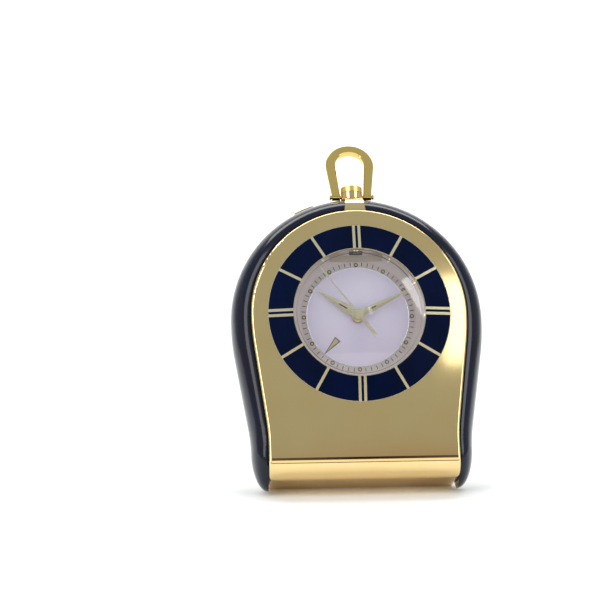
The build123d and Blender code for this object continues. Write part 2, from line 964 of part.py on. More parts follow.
def make_ratchet_wheel():
    front = bridge_back + running_clearance
    back = front + ratchet_thickness
    wheel = pinion(ratchet_teeth, winding_module, ratchet_phase, front, back, barrel_place)
    shaft = arbor(barrel_place, plate_back - pivot_reach, back, arbor_radius * 2)
    return wheel + shaft


def make_crown_wheel():
    front = bridge_back + running_clearance
    back = front + ratchet_thickness
    wheel = pinion(crown_wheel_teeth, winding_module, crown_wheel_phase, front, back, crown_wheel_place)
    low_front = middle_depth + winding_pinion_radius + running_clearance
    drum_radius = winding_module * crown_wheel_teeth / 2
    contrate = drum(drum_radius, low_front, low_front + ratchet_thickness, crown_wheel_place)
    return wheel + contrate + arbor(crown_wheel_place, low_front, back, arbor_radius * 2)


def make_click():
    """The pawl that holds the ratchet wheel, on its own screw stud."""
    direction = barrel_direction + click_turn
    tip_radius = click_tip_radius
    tip = shifted(barrel_place, tip_radius, direction)
    stud = click_stud_place
    middle = ((tip[0] + stud[0]) / 2, (tip[1] + stud[1]) / 2)
    length = math.hypot(tip[0] - stud[0], tip[1] - stud[1])
    turn = direction_between(stud, tip)
    arm = Pos(*middle) * Rot(0, 0, turn) * Rectangle(length, arbor_radius)
    boss = Pos(*stud) * Circle(2 * arbor_radius)
    return slab(arm + boss, bridge_back, bridge_back + ratchet_thickness)


def make_centre_wheel():
    back = centre_wheel_front + wheel_thickness
    wheel = spoked_wheel(
        centre_wheel_teeth, train_module, centre_wheel_phase, centre_wheel_front, (0, 0), centre_tube_radius
    )
    leaves_back = barrel_front + barrel_height
    leaves = pinion(centre_pinion_teeth, barrel_module, centre_pinion_phase, barrel_front, leaves_back)
    tube = drum(centre_tube_radius, minute_hand_front + hub_height, back)
    return wheel + leaves + tube - drum(centre_tube_bore, 0, back + overrun)


def make_third_wheel():
    wheel = spoked_wheel(
        third_wheel_teeth, third_module, third_wheel_phase, third_wheel_front, third_place, arbor_radius
    )
    front = centre_wheel_front - wheel_thickness
    back = third_wheel_front
    leaves = pinion(third_pinion_teeth, train_module, third_pinion_phase, front, back, third_place)
    return wheel + leaves + arbor(third_place, plate_back - pivot_reach, bridge_front + pivot_reach)


def make_fourth_wheel():
    wheel = spoked_wheel(
        fourth_wheel_teeth, train_module, fourth_wheel_phase, fourth_wheel_front, (0, 0), seconds_arbor_radius
    )
    front = centre_wheel_front + wheel_thickness + running_clearance
    leaves = pinion(fourth_pinion_teeth, third_module, fourth_phase, front, fourth_wheel_front)
    shaft = arbor((0, 0), seconds_hand_front, bridge_front + pivot_reach, seconds_arbor_radius)
    return wheel + leaves + shaft


def make_escape_wheel():
    step = full_turn / escape_teeth
    root = escape_wheel_radius * escape_root_share
    tip_start, tip_end, heel = escape_tooth_shares
    points = []
    for tooth in range(escape_teeth):
        start = step * tooth
        points.append(polar(root, start))
        points.append(polar(escape_wheel_radius, start + step * tip_start))
        points.append(polar(escape_wheel_radius, start + step * tip_end))
        points.append(polar(root, start + step * heel))
    face = make_face(Polyline(*points, close=True))
    window = Circle(root - rim_width / 2) - Circle(arbor_radius + rim_width)
    for spoke in range(escape_spokes):
        arm = Pos(root / 2, 0) * Rectangle(root, spoke_width)
        window -= Rot(0, 0, full_turn * spoke / escape_spokes) * arm
    back = escape_wheel_front + wheel_thickness
    wheel = slab(Pos(*escape_place) * (face - window), escape_wheel_front, back)
    leaves = pinion(
        escape_pinion_teeth,
        train_module,
        escape_pinion_phase,
        fourth_wheel_front - wheel_thickness,
        bridge_front - running_clearance,
        escape_place,
    )
    return wheel + leaves + arbor(escape_place, plate_back - pivot_reach, bridge_front + pivot_reach)


def make_pallet_fork():
    """The lever: two pallet arms towards the escape wheel and a tail towards the balance."""
    reach = pallet_distance * pallet_reach_share
    lift = pallet_distance * pallet_lift_share
    arms = make_face(
        Polyline(
            (lift, reach),
            (-arbor_radius, 2 * arbor_radius),
            (-arbor_radius, -2 * arbor_radius),
            (lift, -reach),
            (0, -reach),
            (-3 * arbor_radius, 0),
            (0, reach),
            close=True,
        )
    )
    roller_gap = balance_distance_from_pallet() - roller_radius
    tail = Pos(-roller_gap / 2, 0) * Rectangle(roller_gap - running_clearance * 2, arbor_radius * 2)
    boss = Circle(2 * arbor_radius)
    face = Pos(*pallet_place) * Rot(0, 0, pallet_direction + half_turn) * (arms + tail + boss)
    plate = slab(face, escape_wheel_front, escape_wheel_front + wheel_thickness)
    return plate + arbor(pallet_place, plate_back - pivot_reach, pallet_cock_front + pivot_reach / 2)


def balance_distance_from_pallet():
    return math.dist(pallet_place, balance_place)


def make_balance_wheel():
    back = balance_front + balance_height
    rim = Circle(balance_radius) - Circle(balance_radius - balance_rim)
    arm = Rectangle(2 * balance_radius - balance_rim, 2 * spoke_width)
    hub = Circle(roller_radius)
    disc = slab(Pos(*balance_place) * (rim + arm + hub), back - balance_web, back)
    roller = drum(roller_radius, roller_front, roller_front + wheel_thickness, balance_place)
    staff = arbor(balance_place, plate_back - pivot_reach, bridge_front + pivot_reach, arbor_radius)
    weights = [disc, roller, staff]
    for turn in range(balance_weight_count):
        direction = full_turn * (turn + 1 / 2) / balance_weight_count
        spot = shifted(balance_place, balance_radius - balance_rim / 2, direction)
        weights.append(drum(balance_weight_radius, balance_front, back, spot))
    shape = weights[0]
    for weight in weights[1:]:
        shape += weight
    return shape


def make_hairspring():
    """A flat spiral of half turns whose centres alternate, each half a pitch wider."""
    spring = Sketch()
    for half in range(2 * hairspring_turns):
        radius = hairspring_inner + hairspring_pitch * half / 2
        shift = hairspring_pitch / 4 if half % 2 == 0 else -hairspring_pitch / 4
        ring = Circle(radius + hairspring_thickness / 2) - Circle(radius - hairspring_thickness / 2)
        side = 1 if half % 2 == 0 else -1
        half_plane = Pos(0, side * radius) * Rectangle(4 * radius, 2 * radius)
        spring += Pos(shift, 0) * (ring & half_plane)
    return slab(Pos(*balance_place) * spring, hairspring_front, hairspring_front + hairspring_height)


# Motion work


def make_cannon_pinion():
    back = plate_front - wheel_thickness
    leaves = pinion(cannon_teeth, minute_module, cannon_phase, cannon_front, back)
    tube = drum(cannon_tube_radius, minute_hand_front, back)
    return leaves + tube - drum(cannon_tube_bore, 0, back + overrun)


def make_minute_wheel():
    wheel = spoked_wheel(
        minute_wheel_teeth, minute_module, minute_wheel_phase, cannon_front, minute_place, arbor_radius
    )
    front = hour_wheel_front - wheel_thickness
    leaves = pinion(minute_pinion_teeth, hour_module, minute_pinion_phase, front, cannon_front, minute_place)
    return wheel + leaves + arbor(minute_place, front, plate_front + pivot_reach)


def make_hour_wheel():
    back = hour_wheel_front + wheel_thickness
    wheel = spoked_wheel(
        hour_wheel_teeth, hour_module, hour_wheel_phase, hour_wheel_front, (0, 0), hour_tube_radius
    )
    tube = drum(hour_tube_radius, hour_hand_front, back)
    return wheel + tube - drum(hour_tube_bore, 0, back + overrun)


def make_alarm_wheel():
    back = alarm_wheel_front + wheel_thickness
    wheel = spoked_wheel(alarm_wheel_teeth, alarm_module, 0, alarm_wheel_front, (0, 0), alarm_tube_radius)
    tube = drum(alarm_tube_radius, dial_front, back)
    return wheel + tube - drum(alarm_tube_bore, 0, back + overrun)


# Alarm work


def make_alarm_barrel():
    back = barrel_front + barrel_height
    shell = drum(alarm_barrel_radius, barrel_front, back, alarm_barrel_place)
    inner = alarm_barrel_radius - rim_width
    shell -= drum(inner, barrel_front + wheel_thickness, back - wheel_thickness, alarm_barrel_place)
    return shell - drum(2 * arbor_radius + running_clearance, 0, back + overrun, alarm_barrel_place)


def make_alarm_ratchet_wheel():
    front = bridge_back + running_clearance
    back = front + ratchet_thickness
    wheel = pinion(alarm_ratchet_teeth, winding_module, 0, front, back, alarm_barrel_place)
    return wheel + arbor(alarm_barrel_place, plate_back - pivot_reach, back, arbor_radius * 2)


def make_alarm_hammer():
    end = (0, -hammer_length)
    arm = Pos(0, -hammer_length / 2) * Rectangle(2 * arbor_radius, hammer_length)
    face = arm + Circle(3 * arbor_radius) + Pos(*end) * Circle(hammer_head_radius)
    plate = slab(Pos(*hammer_place) * face, hammer_front, hammer_front + hammer_height)
    return plate + arbor(hammer_place, plate_back - pivot_reach, hammer_front + hammer_height)


def make_gong_stud():
    return drum(gong_stud_radius, plate_back, hammer_front + hammer_height * 2, gong_stud_place)


# Movement frame


def make_movement_ring():
    inner = dial_radius + running_clearance
    shape = drum(movement_ring_radius, ring_back, movement_ring_back)
    shape -= drum(inner, 0, movement_ring_back + overrun)
    return shape - upright_bar(stem_bore, 0, movement_ring_radius + overrun, middle_depth)


def make_main_plate():
    rim_front = dial_front + dial_thickness
    inner = dial_radius - plate_rim_width
    shape = drum(dial_radius, rim_front, plate_back) - drum(inner, 0, plate_front)
    through = [
        ((0, 0), centre_tube_radius),
        (third_place, arbor_radius),
        (escape_place, arbor_radius),
        (pallet_place, arbor_radius),
        (balance_place, arbor_radius),
        (barrel_place, 2 * arbor_radius),
        (alarm_barrel_place, 2 * arbor_radius),
        (minute_place, arbor_radius),
        (hammer_place, arbor_radius),
    ]
    for place, radius in through:
        shape -= drum(radius + running_clearance, 0, case_depth, place)
    shape -= upright_bar(stem_bore, stem_bottom, dial_radius + overrun, middle_depth)
    room = 2 * winding_pinion_radius + 4 * running_clearance
    height = winding_pinion_width + 4 * running_clearance
    shape -= Pos(0, middle_depth, winding_pinion_middle) * Box(room, 2 * room, height)
    return shape


def bridge(places, pillars, width, front, back, holes):
    """A flat bridge over its bearings, standing on pillars on the main plate."""
    spots = [Pos(*place) * Circle(width) for place in (*places, *pillars)]
    cover = make_hull([edge for spot in spots for edge in spot.edges()])
    shape = slab(cover, front, back)
    head_front = back - bridge_screw_head_height
    for place in pillars:
        shape += drum(pillar_radius, plate_back, front, place)
        shape -= drum(bridge_screw_radius + fit_clearance, front - overrun / 2, back + overrun, place)
        shape -= drum(bridge_screw_head_radius + fit_clearance, head_front, back + overrun, place)
    for place, radius in holes:
        shape -= drum(radius + running_clearance, 0, case_depth, place)
    return shape


def make_train_bridge():
    holes = [((0, 0), seconds_arbor_radius), (third_place, arbor_radius), (escape_place, arbor_radius)]
    places = [place for place, radius in holes]
    return bridge(places, train_pillars, bridge_half_width, bridge_front, bridge_back, holes)


def make_barrel_bridge():
    holes = [(place, 2 * arbor_radius) for place in (barrel_place, alarm_barrel_place, crown_wheel_place)]
    places = [place for place, radius in holes]
    return bridge(places, barrel_pillars, bridge_half_width, bridge_front, bridge_back, holes)


def make_balance_cock():
    holes = [(balance_place, arbor_radius)]
    return bridge([balance_place], balance_pillars, bridge_half_width, bridge_front, bridge_back, holes)


def make_pallet_cock():
    holes = [(pallet_place, arbor_radius)]
    return bridge([pallet_place], pallet_pillars, pillar_radius, pallet_cock_front, pallet_cock_back, holes)


def slotted_screw(place, radius, head_radius, head_height, length, back):
    """A cheese-head screw driven from the back, with its slot."""
    head = drum(head_radius, back - head_height, back, place)
    slot = Pos(*place) * Rectangle(2 * head_radius, head_radius * slot_share * 2)
    head -= slab(slot, back - head_height / 2, back + overrun)
    return head + drum(radius, back - head_height - length, back - head_height, place)


def make_bridge_screws():
    screws = []
    for place in (*train_pillars, *barrel_pillars, *balance_pillars):
        length = bridge_screw_head_height * 2
        screws.append(
            slotted_screw(
                place,
                bridge_screw_radius,
                bridge_screw_head_radius,
                bridge_screw_head_height,
                length,
                bridge_back,
            )
        )
    return Compound(children=screws)


# Winding


def make_winding_pinion():
    radius = winding_pinion_radius
    face = Circle(radius - winding_tooth_depth) - Circle(stem_radius + running_clearance)
    step = full_turn / winding_pinion_teeth
    tooth_width = math.pi * radius / winding_pinion_teeth
    for tooth in range(winding_pinion_teeth):
        bar = Pos(radius - winding_tooth_depth, 0) * Rectangle(2 * winding_tooth_depth, tooth_width)
        face += Rot(0, 0, tooth * step) * (bar & Circle(radius))
    bottom = winding_pinion_middle - winding_pinion_width / 2
    return Pos(0, middle_depth, bottom) * extrude(face, amount=winding_pinion_width)


def make_winding_stem():
    shape = upright_bar(stem_radius, stem_bottom, crown_bottom + crown_height / 2, middle_depth)
    low = stem_groove_height - stem_groove_width / 2
    high = stem_groove_height + stem_groove_width / 2
    neck = stem_radius - stem_groove_depth
    groove = upright_bar(stem_radius + overrun, low, high, middle_depth)
    groove -= upright_bar(neck, low, high, middle_depth)
    return shape - groove


def make_crown():
    shape = upright_bar(collar_radius, crown_bottom, crown_top - crown_dome, middle_depth)
    top_edge = shape.edges().group_by(Axis.Z)[-1]
    shape = chamfer(top_edge, crown_chamfer)
    inner = collar_radius - crown_chamfer
    radius = (inner**2 + crown_dome**2) / (2 * crown_dome)
    cap = Pos(0, middle_depth, crown_top - radius) * Sphere(radius)
    cap &= upright_bar(inner, crown_top - crown_dome, crown_top + overrun, middle_depth)
    return shape + cap - upright_bar(stem_radius, 0, crown_bottom + crown_height / 2, middle_depth)


def make_setting_lever():
    """A flat lever beside the stem whose pin sits in the stem's groove, half the pull below its pivot."""
    pin_place = (setting_lever_pin_x, stem_groove_height)
    ends = Pos(*pin_place) * Circle(setting_lever_width / 4)
    boss = Pos(*setting_lever_place) * Circle(setting_lever_width / 2)
    back = middle_depth + stem_radius + wheel_thickness * 3
    plate = slab(make_hull([*ends.edges(), *boss.edges()]), back - wheel_thickness * 2, back)
    pin = drum(setting_lever_pin_radius, middle_depth - stem_radius / 2, back, pin_place)
    stud = drum(setting_lever_width / 3, plate_back + running_clearance, back, setting_lever_place)
    return plate + pin + stud


# Pendant and bow


def make_pendant():
    """The saddle over the band, with the collar that the stem and the bow screws pass into."""
    dome = scale(
        Sphere(1),
        by=(plate_radius, pendant_half_depth, pendant_crest),
    )
    arch = Pos(0, middle_depth, plate_radius) * dome
    half_top = pendant_top_width / 2
    half_foot = pendant_foot_width / 2
    foot = plate_radius - pendant_overlap
    corners = [(-half_foot, foot), (half_foot, foot), (half_top, pendant_top), (-half_top, pendant_top)]
    front = make_face(Polyline(*corners, close=True))
    saddle = arch & slab(front, 0, case_depth)
    saddle -= slab(outline_face(0, -base_drop), -overrun, case_depth + overrun)
    saddle -= upper_band()
    collar = upright_bar(collar_radius, pendant_top, collar_top, middle_depth)
    shape = saddle + collar
    shape -= upright_bar(stem_bore, 0, collar_top + overrun, middle_depth)
    for side in (1, -1):
        shape -= bow_screw_bar(side, bow_screw_radius + fit_clearance, bow_screw_reach)
    return shape


def bow_screw_bar(side, radius, reach):
    length = bow_foot_outer + overrun - reach
    bar = Rot(0, 90, 0) * Cylinder(radius, length, align=(Align.CENTER, Align.CENTER, Align.MIN))
    bar = Pos(reach, middle_depth, bow_pivot_height) * bar
    return bar if side > 0 else mirror(bar, about=Plane.YZ)


def bow_half_edges(centre_radius, foot_x):
    """Where the straight leg from the foot meets the bow's round head, on the right side."""
    distance = math.hypot(foot_x, bow_centre_height)
    toward_foot = math.atan2(-bow_centre_height, foot_x)
    angle = toward_foot + math.acos(centre_radius / distance)
    return (centre_radius * math.cos(angle), bow_centre_height + centre_radius * math.sin(angle))


def bow_loop(radius, foot_x, bottom):
    right = bow_half_edges(radius, foot_x)
    arc = ThreePointArc((-right[0], right[1]), (0, bow_centre_height + radius), right)
    left = (-right[0], right[1])
    legs = Polyline(right, (foot_x, 0), (foot_x, bottom), (-foot_x, bottom), (-foot_x, 0), left)
    return make_face([arc, legs])


def make_bow():
    half = bow_thickness / 2
    outer = bow_loop(bow_outer_radius, bow_foot_outer, -half)
    inner = bow_loop(bow_inner_radius, bow_foot_inner, -half - overrun)
    plane = Plane(origin=(0, half, 0), x_dir=(1, 0, 0), z_dir=(0, -1, 0))
    shape = extrude(plane * (outer - inner), amount=bow_thickness)
    broad = shape.faces().filter_by(Axis.Y)
    rims = [edge for face in broad for edge in face.edges() if (edge @ 0.5).Z > fit_clearance - half]
    shape = chamfer(rims, bow_chamfer)
    height = bow_centre_height + bow_outer_radius
    side = Pos(0, height / 2) * SlotOverall(height + 2 * bow_thickness, bow_thickness, rotation=90)
    side = Pos(0, bow_thickness / 2) * side
    shape &= extrude(Plane.YZ * side, amount=2 * bow_outer_radius, both=True)
    for side in (1, -1):
        hole = Rot(0, 90, 0) * Cylinder(bow_screw_radius + running_clearance, 2 * overrun)
        shape -= Pos(side * (bow_foot_outer + bow_foot_inner) / 2, 0, 0) * hole
    return Pos(0, middle_depth, bow_pivot_height) * (Rot(-bow_lean, 0, 0) * shape)


def make_bow_screws():
    screws = []
    for side in (1, -1):
        shank = bow_screw_bar(side, bow_screw_radius, bow_screw_reach + fit_clearance)
        head_start = bow_foot_outer + bow_screw_head_gap
        reach = head_start + bow_screw_head_height / 2
        shank &= Pos(side * reach / 2, middle_depth, bow_pivot_height) * Box(
            reach, 2 * collar_radius, 2 * collar_radius
        )
        head = Rot(0, 90, 0) * Cylinder(bow_screw_head_radius, bow_screw_head_height)
        head = Pos(side * (head_start + bow_screw_head_height / 2), middle_depth, bow_pivot_height) * head
        screws.append(shank + head)
    return Compound(children=screws)


# Alarm push piece, built upright over the top of the arch and then turned to its place


def push_turn():
    return Rot(0, push_angle, 0)


def push_piece_room():
    crest = plate_radius + band_bulge
    slot = Pos(0, middle_depth, crest + push_proud) * Box(
        push_length + 2 * running_clearance,
        push_width + 2 * running_clearance,
        2 * (push_height + push_travel + running_clearance),
    )
    bore_bottom = crest - push_stem_reach - 2 * push_travel
    bore = upright_bar(push_stem_radius + running_clearance, bore_bottom, crest, middle_depth)
    spring_room = upright_bar(
        push_spring_radius + push_spring_wire,
        crest + push_proud - push_height - push_spring_depth - running_clearance,
        crest,
        middle_depth,
    )
    return push_turn() * (slot + bore + spring_room)


def make_alarm_push_piece():
    crest = plate_radius + band_bulge
    outer = crest + push_proud
    shell = Pos(0, middle_depth, 0) * (Rot(90, 0, 0) * Cylinder(outer, push_width))
    block = Pos(0, middle_depth, outer - push_height / 2) * Box(push_length, push_width, push_height)
    cap = shell & block
    stem = upright_bar(push_stem_radius, crest - push_stem_reach, outer - push_height / 2, middle_depth)
    return push_turn() * (cap + stem)


def make_push_piece_spring():
    """A small coil round the stem, under the cap."""
    top = plate_radius + band_bulge + push_proud - push_height
    pitch = push_spring_depth / push_spring_turns
    path = Helix(pitch, push_spring_depth - 2 * push_spring_wire, push_spring_radius)
    section = Plane(path @ 0, z_dir=path % 0) * Circle(push_spring_wire / 2)
    coil = sweep(section, path=path)
    bottom = top - push_spring_depth + push_spring_wire
    return push_turn() * (Pos(0, middle_depth, bottom) * coil)


# Back cover and strut


def strut_face(side_gap, tip_gap, hinge_gap):
    """The strut's outline about its hinge line at z = 0, grown by gaps for its recess."""
    half_top = strut_top_width / 2 + side_gap
    half_tip = strut_tip_width / 2 + side_gap
    bottom = -strut_length - tip_gap
    corner = half_tip / 2
    outline = make_face(
        Polyline(
            (-half_top, hinge_gap),
            (half_top, hinge_gap),
            (half_tip, bottom + corner),
            (half_tip - corner, bottom),
            (corner - half_tip, bottom),
            (-half_tip, bottom + corner),
            close=True,
        )
    )
    return Pos(0, strut_hinge_height) * outline


def strut_reach():
    """Length from the hinge to the floor when the strut is open."""
    depth = strut_axis_depth - foot_land_centre[1]
    height = strut_hinge_height - foot_land_centre[2]
    above_floor = height * math.cos(lean) - depth * math.sin(lean)
    return above_floor / math.cos(math.radians(strut_open_angle - lean_angle))


strut_length = strut_reach() + strut_thickness / 2


def make_back_cover():
    bottom = sheet - base_drop
    shape = slab(outline_face(0, bottom), case_depth - sheet, case_depth)
    outer_edges = shape.faces().sort_by(Axis.Y)[-1].edges()
    shape = fillet(outer_edges.filter_by(lambda edge: (edge @ 0.5).Z > bottom + sheet), cover_edge_round)
    gap = strut_side_gap
    hinge_gap = strut_barrel_radius + gap
    dish = strut_face(gap + recess_wall, gap + recess_wall / 2, hinge_gap + recess_wall)
    shape += slab(dish, recess_floor - recess_wall, case_depth - sheet / 2)
    shape -= slab(strut_face(gap, gap, hinge_gap), recess_floor, case_depth + overrun)
    tip = Pos(0, strut_hinge_height - strut_length)
    notch = tip * Circle(finger_notch_radius)
    inside = tip * Rectangle(4 * finger_notch_radius, 2 * strut_side_gap)
    shape -= slab(notch & inside, recess_floor, case_depth + overrun)
    for side in (1, -1):
        ear_x = side * (strut_top_width / 2 - strut_ear_width / 2)
        shape += Pos(ear_x, 0, 0) * hinge_ear(strut_ear_width)
    shape -= hinge_bar(strut_pin_radius + fit_clearance, strut_top_width)
    head_front = case_depth - cover_screw_head_height
    for place in post_places():
        shape -= drum(cover_screw_radius + fit_clearance, 0, case_depth + overrun, place)
        shape -= drum(cover_screw_head_radius + fit_clearance, head_front, case_depth + overrun, place)
    return shape


def hinge_bar(radius, length):
    bar = Rot(0, 90, 0) * Cylinder(radius, length)
    return Pos(0, strut_axis_depth, strut_hinge_height) * bar


def hinge_ear(width):
    """One knuckle of the cover's hinge, standing on the recess floor."""
    foot_depth = strut_axis_depth - recess_floor
    foot = Pos(0, recess_floor + foot_depth / 2, strut_hinge_height) * Box(
        width, foot_depth, 2 * strut_barrel_radius
    )
    return hinge_bar(strut_barrel_radius, width) + foot


def make_strut():
    """The strut as it stands open, with its tip cut flat on the floor."""
    front = strut_axis_depth - strut_thickness / 2
    blade = slab(strut_face(0, 0, 0), front, front + strut_thickness)
    shape = blade + hinge_bar(strut_barrel_radius, strut_top_width)
    shape -= hinge_bar(strut_pin_radius + running_clearance, strut_top_width + overrun)
    for side in (1, -1):
        ear_x = side * (strut_top_width / 2 - strut_ear_width / 2)
        room = strut_ear_width + 2 * running_clearance
        height = 2 * strut_barrel_radius + 4 * strut_side_gap
        shape -= Pos(ear_x, strut_axis_depth, strut_hinge_height) * Box(room + strut_side_gap, height, height)
    hinge = Pos(0, strut_axis_depth, strut_hinge_height)
    opened = hinge * Rot(strut_open_angle, 0, 0) * Pos(0, -strut_axis_depth, -strut_hinge_height)
    return opened * shape - floor_block()


def make_strut_hinge_pin():
    return hinge_bar(strut_pin_radius, strut_top_width)


def make_back_cover_screws():
    screws = []
    for place in post_places():
        screws.append(
            slotted_screw(
                place,
                cover_screw_radius,
                cover_screw_head_radius,
                cover_screw_head_height,
                cover_screw_length - sheet,
                case_depth,
            )
        )
    return Compound(children=screws)


# Every piece by its node's name
makers = {
    "case_middle": make_case_middle,
    "front_plate": make_front_plate,
    "hour_ring": make_hour_ring,
    "lacquer_inlays": make_lacquer_inlays,
    "crystal": make_crystal,
    "crystal_retaining_ring": make_crystal_retaining_ring,
    "dial_plate": make_dial_plate,
    "name_plate": make_name_plate,
    "hour_dots": make_hour_dots,
    "hour_marks": make_hour_marks,
    "alarm_disc": make_alarm_disc,
    "alarm_pointer": make_alarm_pointer,
    "hour_hand": make_hour_hand,
    "minute_hand": make_minute_hand,
    "seconds_hand": make_seconds_hand,
    "pendant": make_pendant,
    "crown": make_crown,
    "winding_stem": make_winding_stem,
    "bow": make_bow,
    "bow_screws": make_bow_screws,
    "alarm_push_piece": make_alarm_push_piece,
    "push_piece_spring": make_push_piece_spring,
    "back_cover": make_back_cover,
    "back_cover_screws": make_back_cover_screws,
    "strut": make_strut,
    "strut_hinge_pin": make_strut_hinge_pin,
    "movement_ring": make_movement_ring,
    "main_plate": make_main_plate,
    "train_bridge": make_train_bridge,
    "barrel_bridge": make_barrel_bridge,
    "balance_cock": make_balance_cock,
    "pallet_cock": make_pallet_cock,
    "bridge_screws": make_bridge_screws,
    "going_barrel": make_going_barrel,
    "ratchet_wheel": make_ratchet_wheel,
    "crown_wheel": make_crown_wheel,
    "click": make_click,
    "centre_wheel": make_centre_wheel,
    "third_wheel": make_third_wheel,
    "fourth_wheel": make_fourth_wheel,
    "escape_wheel": make_escape_wheel,
    "pallet_fork": make_pallet_fork,
    "balance_wheel": make_balance_wheel,
    "hairspring": make_hairspring,
    "cannon_pinion": make_cannon_pinion,
    "minute_wheel": make_minute_wheel,
    "hour_wheel": make_hour_wheel,
    "alarm_wheel": make_alarm_wheel,
    "alarm_barrel": make_alarm_barrel,
    "alarm_ratchet_wheel": make_alarm_ratchet_wheel,
    "alarm_hammer": make_alarm_hammer,
    "gong_stud": make_gong_stud,
    "winding_pinion": make_winding_pinion,
    "setting_lever": make_setting_lever,
}


def standing():
    """Leans the clock back and puts the middle of its foot land on the origin."""
    depth = foot_land_centre[1] * math.cos(lean) + foot_land_centre[2] * math.sin(lean)
    height = foot_land_centre[2] * math.cos(lean) - foot_land_centre[1] * math.sin(lean)
    return Pos(0, -depth, -height) * Rot(-lean_angle, 0, 0)


os.makedirs("parts", exist_ok=True)
stance = standing()
for node, maker in makers.items():
    export_step(stance * maker(), f"parts/{node}.step")

# Joint points in the standing frame
crest_point = polar(plate_radius + band_bulge, 90 - push_angle)
joint_points = {
    "centre": (0, 0, 0),
    "up_the_face": (0, 0, 1),
    "bow": (0, middle_depth, bow_pivot_height),
    "strut": (0, strut_axis_depth, strut_hinge_height),
    "barrel": (barrel_place[0], 0, barrel_place[1]),
    "alarm_barrel": (alarm_barrel_place[0], 0, alarm_barrel_place[1]),
    "crown_wheel": (0, 0, crown_wheel_place[1]),
    "third": (third_place[0], 0, third_place[1]),
    "escape": (escape_place[0], 0, escape_place[1]),
    "pallet": (pallet_place[0], 0, pallet_place[1]),
    "balance": (balance_place[0], 0, balance_place[1]),
    "minute": (minute_place[0], 0, minute_place[1]),
    "hammer": (hammer_place[0], 0, hammer_place[1]),
    "stem": (0, middle_depth, crown_bottom),
    "click": (click_stud_place[0], 0, click_stud_place[1]),
    "setting_lever": (setting_lever_place[0], 0, setting_lever_place[1]),
    "push_piece": (crest_point[0], middle_depth, crest_point[1]),
    "foot_land": foot_land_centre,
    "bow_middle": (0, middle_depth, bow_pivot_height + bow_centre_height),
}
for name, point in joint_points.items():
    placed = (stance * Pos(*point)).position
    print(name, round(placed.X, 4), round(placed.Y, 4), round(placed.Z, 4))
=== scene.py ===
# %% [markdown]
# # A travel clock with a leaning stand
#
# The real object is a small alarm clock, about 74 mm high with its bow. A gilt front plate carries a
# ring of blue lacquer, and a lacquered band runs round the case. The pieces come from a finished
# model in metres. This file gives them their finishes, adds the fine work on the dial, and sets up a
# studio like the one in the photograph.

import json
import math

import bmesh
import bpy
from mathutils import Matrix, Vector


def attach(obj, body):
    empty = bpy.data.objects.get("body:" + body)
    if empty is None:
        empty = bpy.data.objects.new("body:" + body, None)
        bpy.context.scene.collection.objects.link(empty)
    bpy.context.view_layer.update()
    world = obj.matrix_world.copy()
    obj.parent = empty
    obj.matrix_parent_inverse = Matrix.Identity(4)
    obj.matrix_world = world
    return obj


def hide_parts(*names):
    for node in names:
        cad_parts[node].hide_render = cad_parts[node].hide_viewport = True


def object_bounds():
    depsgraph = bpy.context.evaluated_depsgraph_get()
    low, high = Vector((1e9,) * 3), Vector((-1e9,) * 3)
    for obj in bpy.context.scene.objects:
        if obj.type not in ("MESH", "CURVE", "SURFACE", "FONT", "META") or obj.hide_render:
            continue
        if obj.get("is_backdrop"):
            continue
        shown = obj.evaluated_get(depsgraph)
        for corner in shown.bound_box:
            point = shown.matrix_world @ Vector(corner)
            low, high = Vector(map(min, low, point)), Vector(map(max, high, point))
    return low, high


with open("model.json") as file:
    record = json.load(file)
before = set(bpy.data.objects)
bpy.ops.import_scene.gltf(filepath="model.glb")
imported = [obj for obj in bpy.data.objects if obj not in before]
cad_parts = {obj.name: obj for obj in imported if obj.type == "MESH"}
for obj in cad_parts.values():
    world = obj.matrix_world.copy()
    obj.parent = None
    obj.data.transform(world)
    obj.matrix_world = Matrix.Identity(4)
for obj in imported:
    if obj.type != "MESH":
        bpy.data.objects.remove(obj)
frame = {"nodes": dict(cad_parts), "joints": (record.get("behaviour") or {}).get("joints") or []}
nodes = frame["nodes"]
cad_low, cad_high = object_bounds()
mm = 0.001
print("pieces", len(nodes), "size in mm", [round(side / mm, 1) for side in cad_high - cad_low])

# %% [markdown]
# ## A frame for the face
#
# The clock leans back, so up the dial isn't up in the room. The minute hand turns about an axis that
# starts at the middle of the dial and goes straight into it. With that point and that direction, one
# matrix turns sizes drawn on an upright face (x right, y into the clock, z up) into the leaning
# clock. Drawing in that frame keeps every number the one that a ruler gives.

# %% The face's matrix
minute_joint = next(joint for joint in frame["joints"] if joint["name"] == "minute_spin")
face_middle = Vector(minute_joint["pos_m"])
into_face = Vector(minute_joint["axis"]).normalized()
face_right = Vector((1, 0, 0))
face_up = face_right.cross(into_face)
face_matrix = Matrix((face_right, into_face, face_up)).transposed().to_4x4()
face_matrix.translation = face_middle
lean = math.atan2(face_up.y, face_up.z)
print("leans back", round(math.degrees(lean), 1), "degrees")

# %% [markdown]
# ## Colours and nodes
#
# Colours are picked from a screen as sRGB hex values, but light adds up in linear values, so one
# function converts them. A second function adds a shader node, sets its sockets and links it. With
# it, a material reads as a short list of what it is made of.

# %% Colour and node helpers


def colour(code):
    """An sRGB hex code as linear red, green, blue and alpha."""
    channels = [int(code[place : place + 2], 16) / 255 for place in (1, 3, 5)]
    linear = [c / 12.92 if c <= 0.04045 else ((c + 0.055) / 1.055) ** 2.4 for c in channels]
    return (*linear, 1)


def add_node(tree, kind, settings=None, links=None):
    """Adds one node. Settings name an attribute or a socket, and links give a socket its source."""
    made = tree.nodes.new(kind)
    for name, value in (settings or {}).items():
        if isinstance(name, str) and hasattr(made, name):
            setattr(made, name, value)
        else:
            made.inputs[name].default_value = value
    for name, source in (links or {}).items():
        tree.links.new(source, made.inputs[name])
    return made


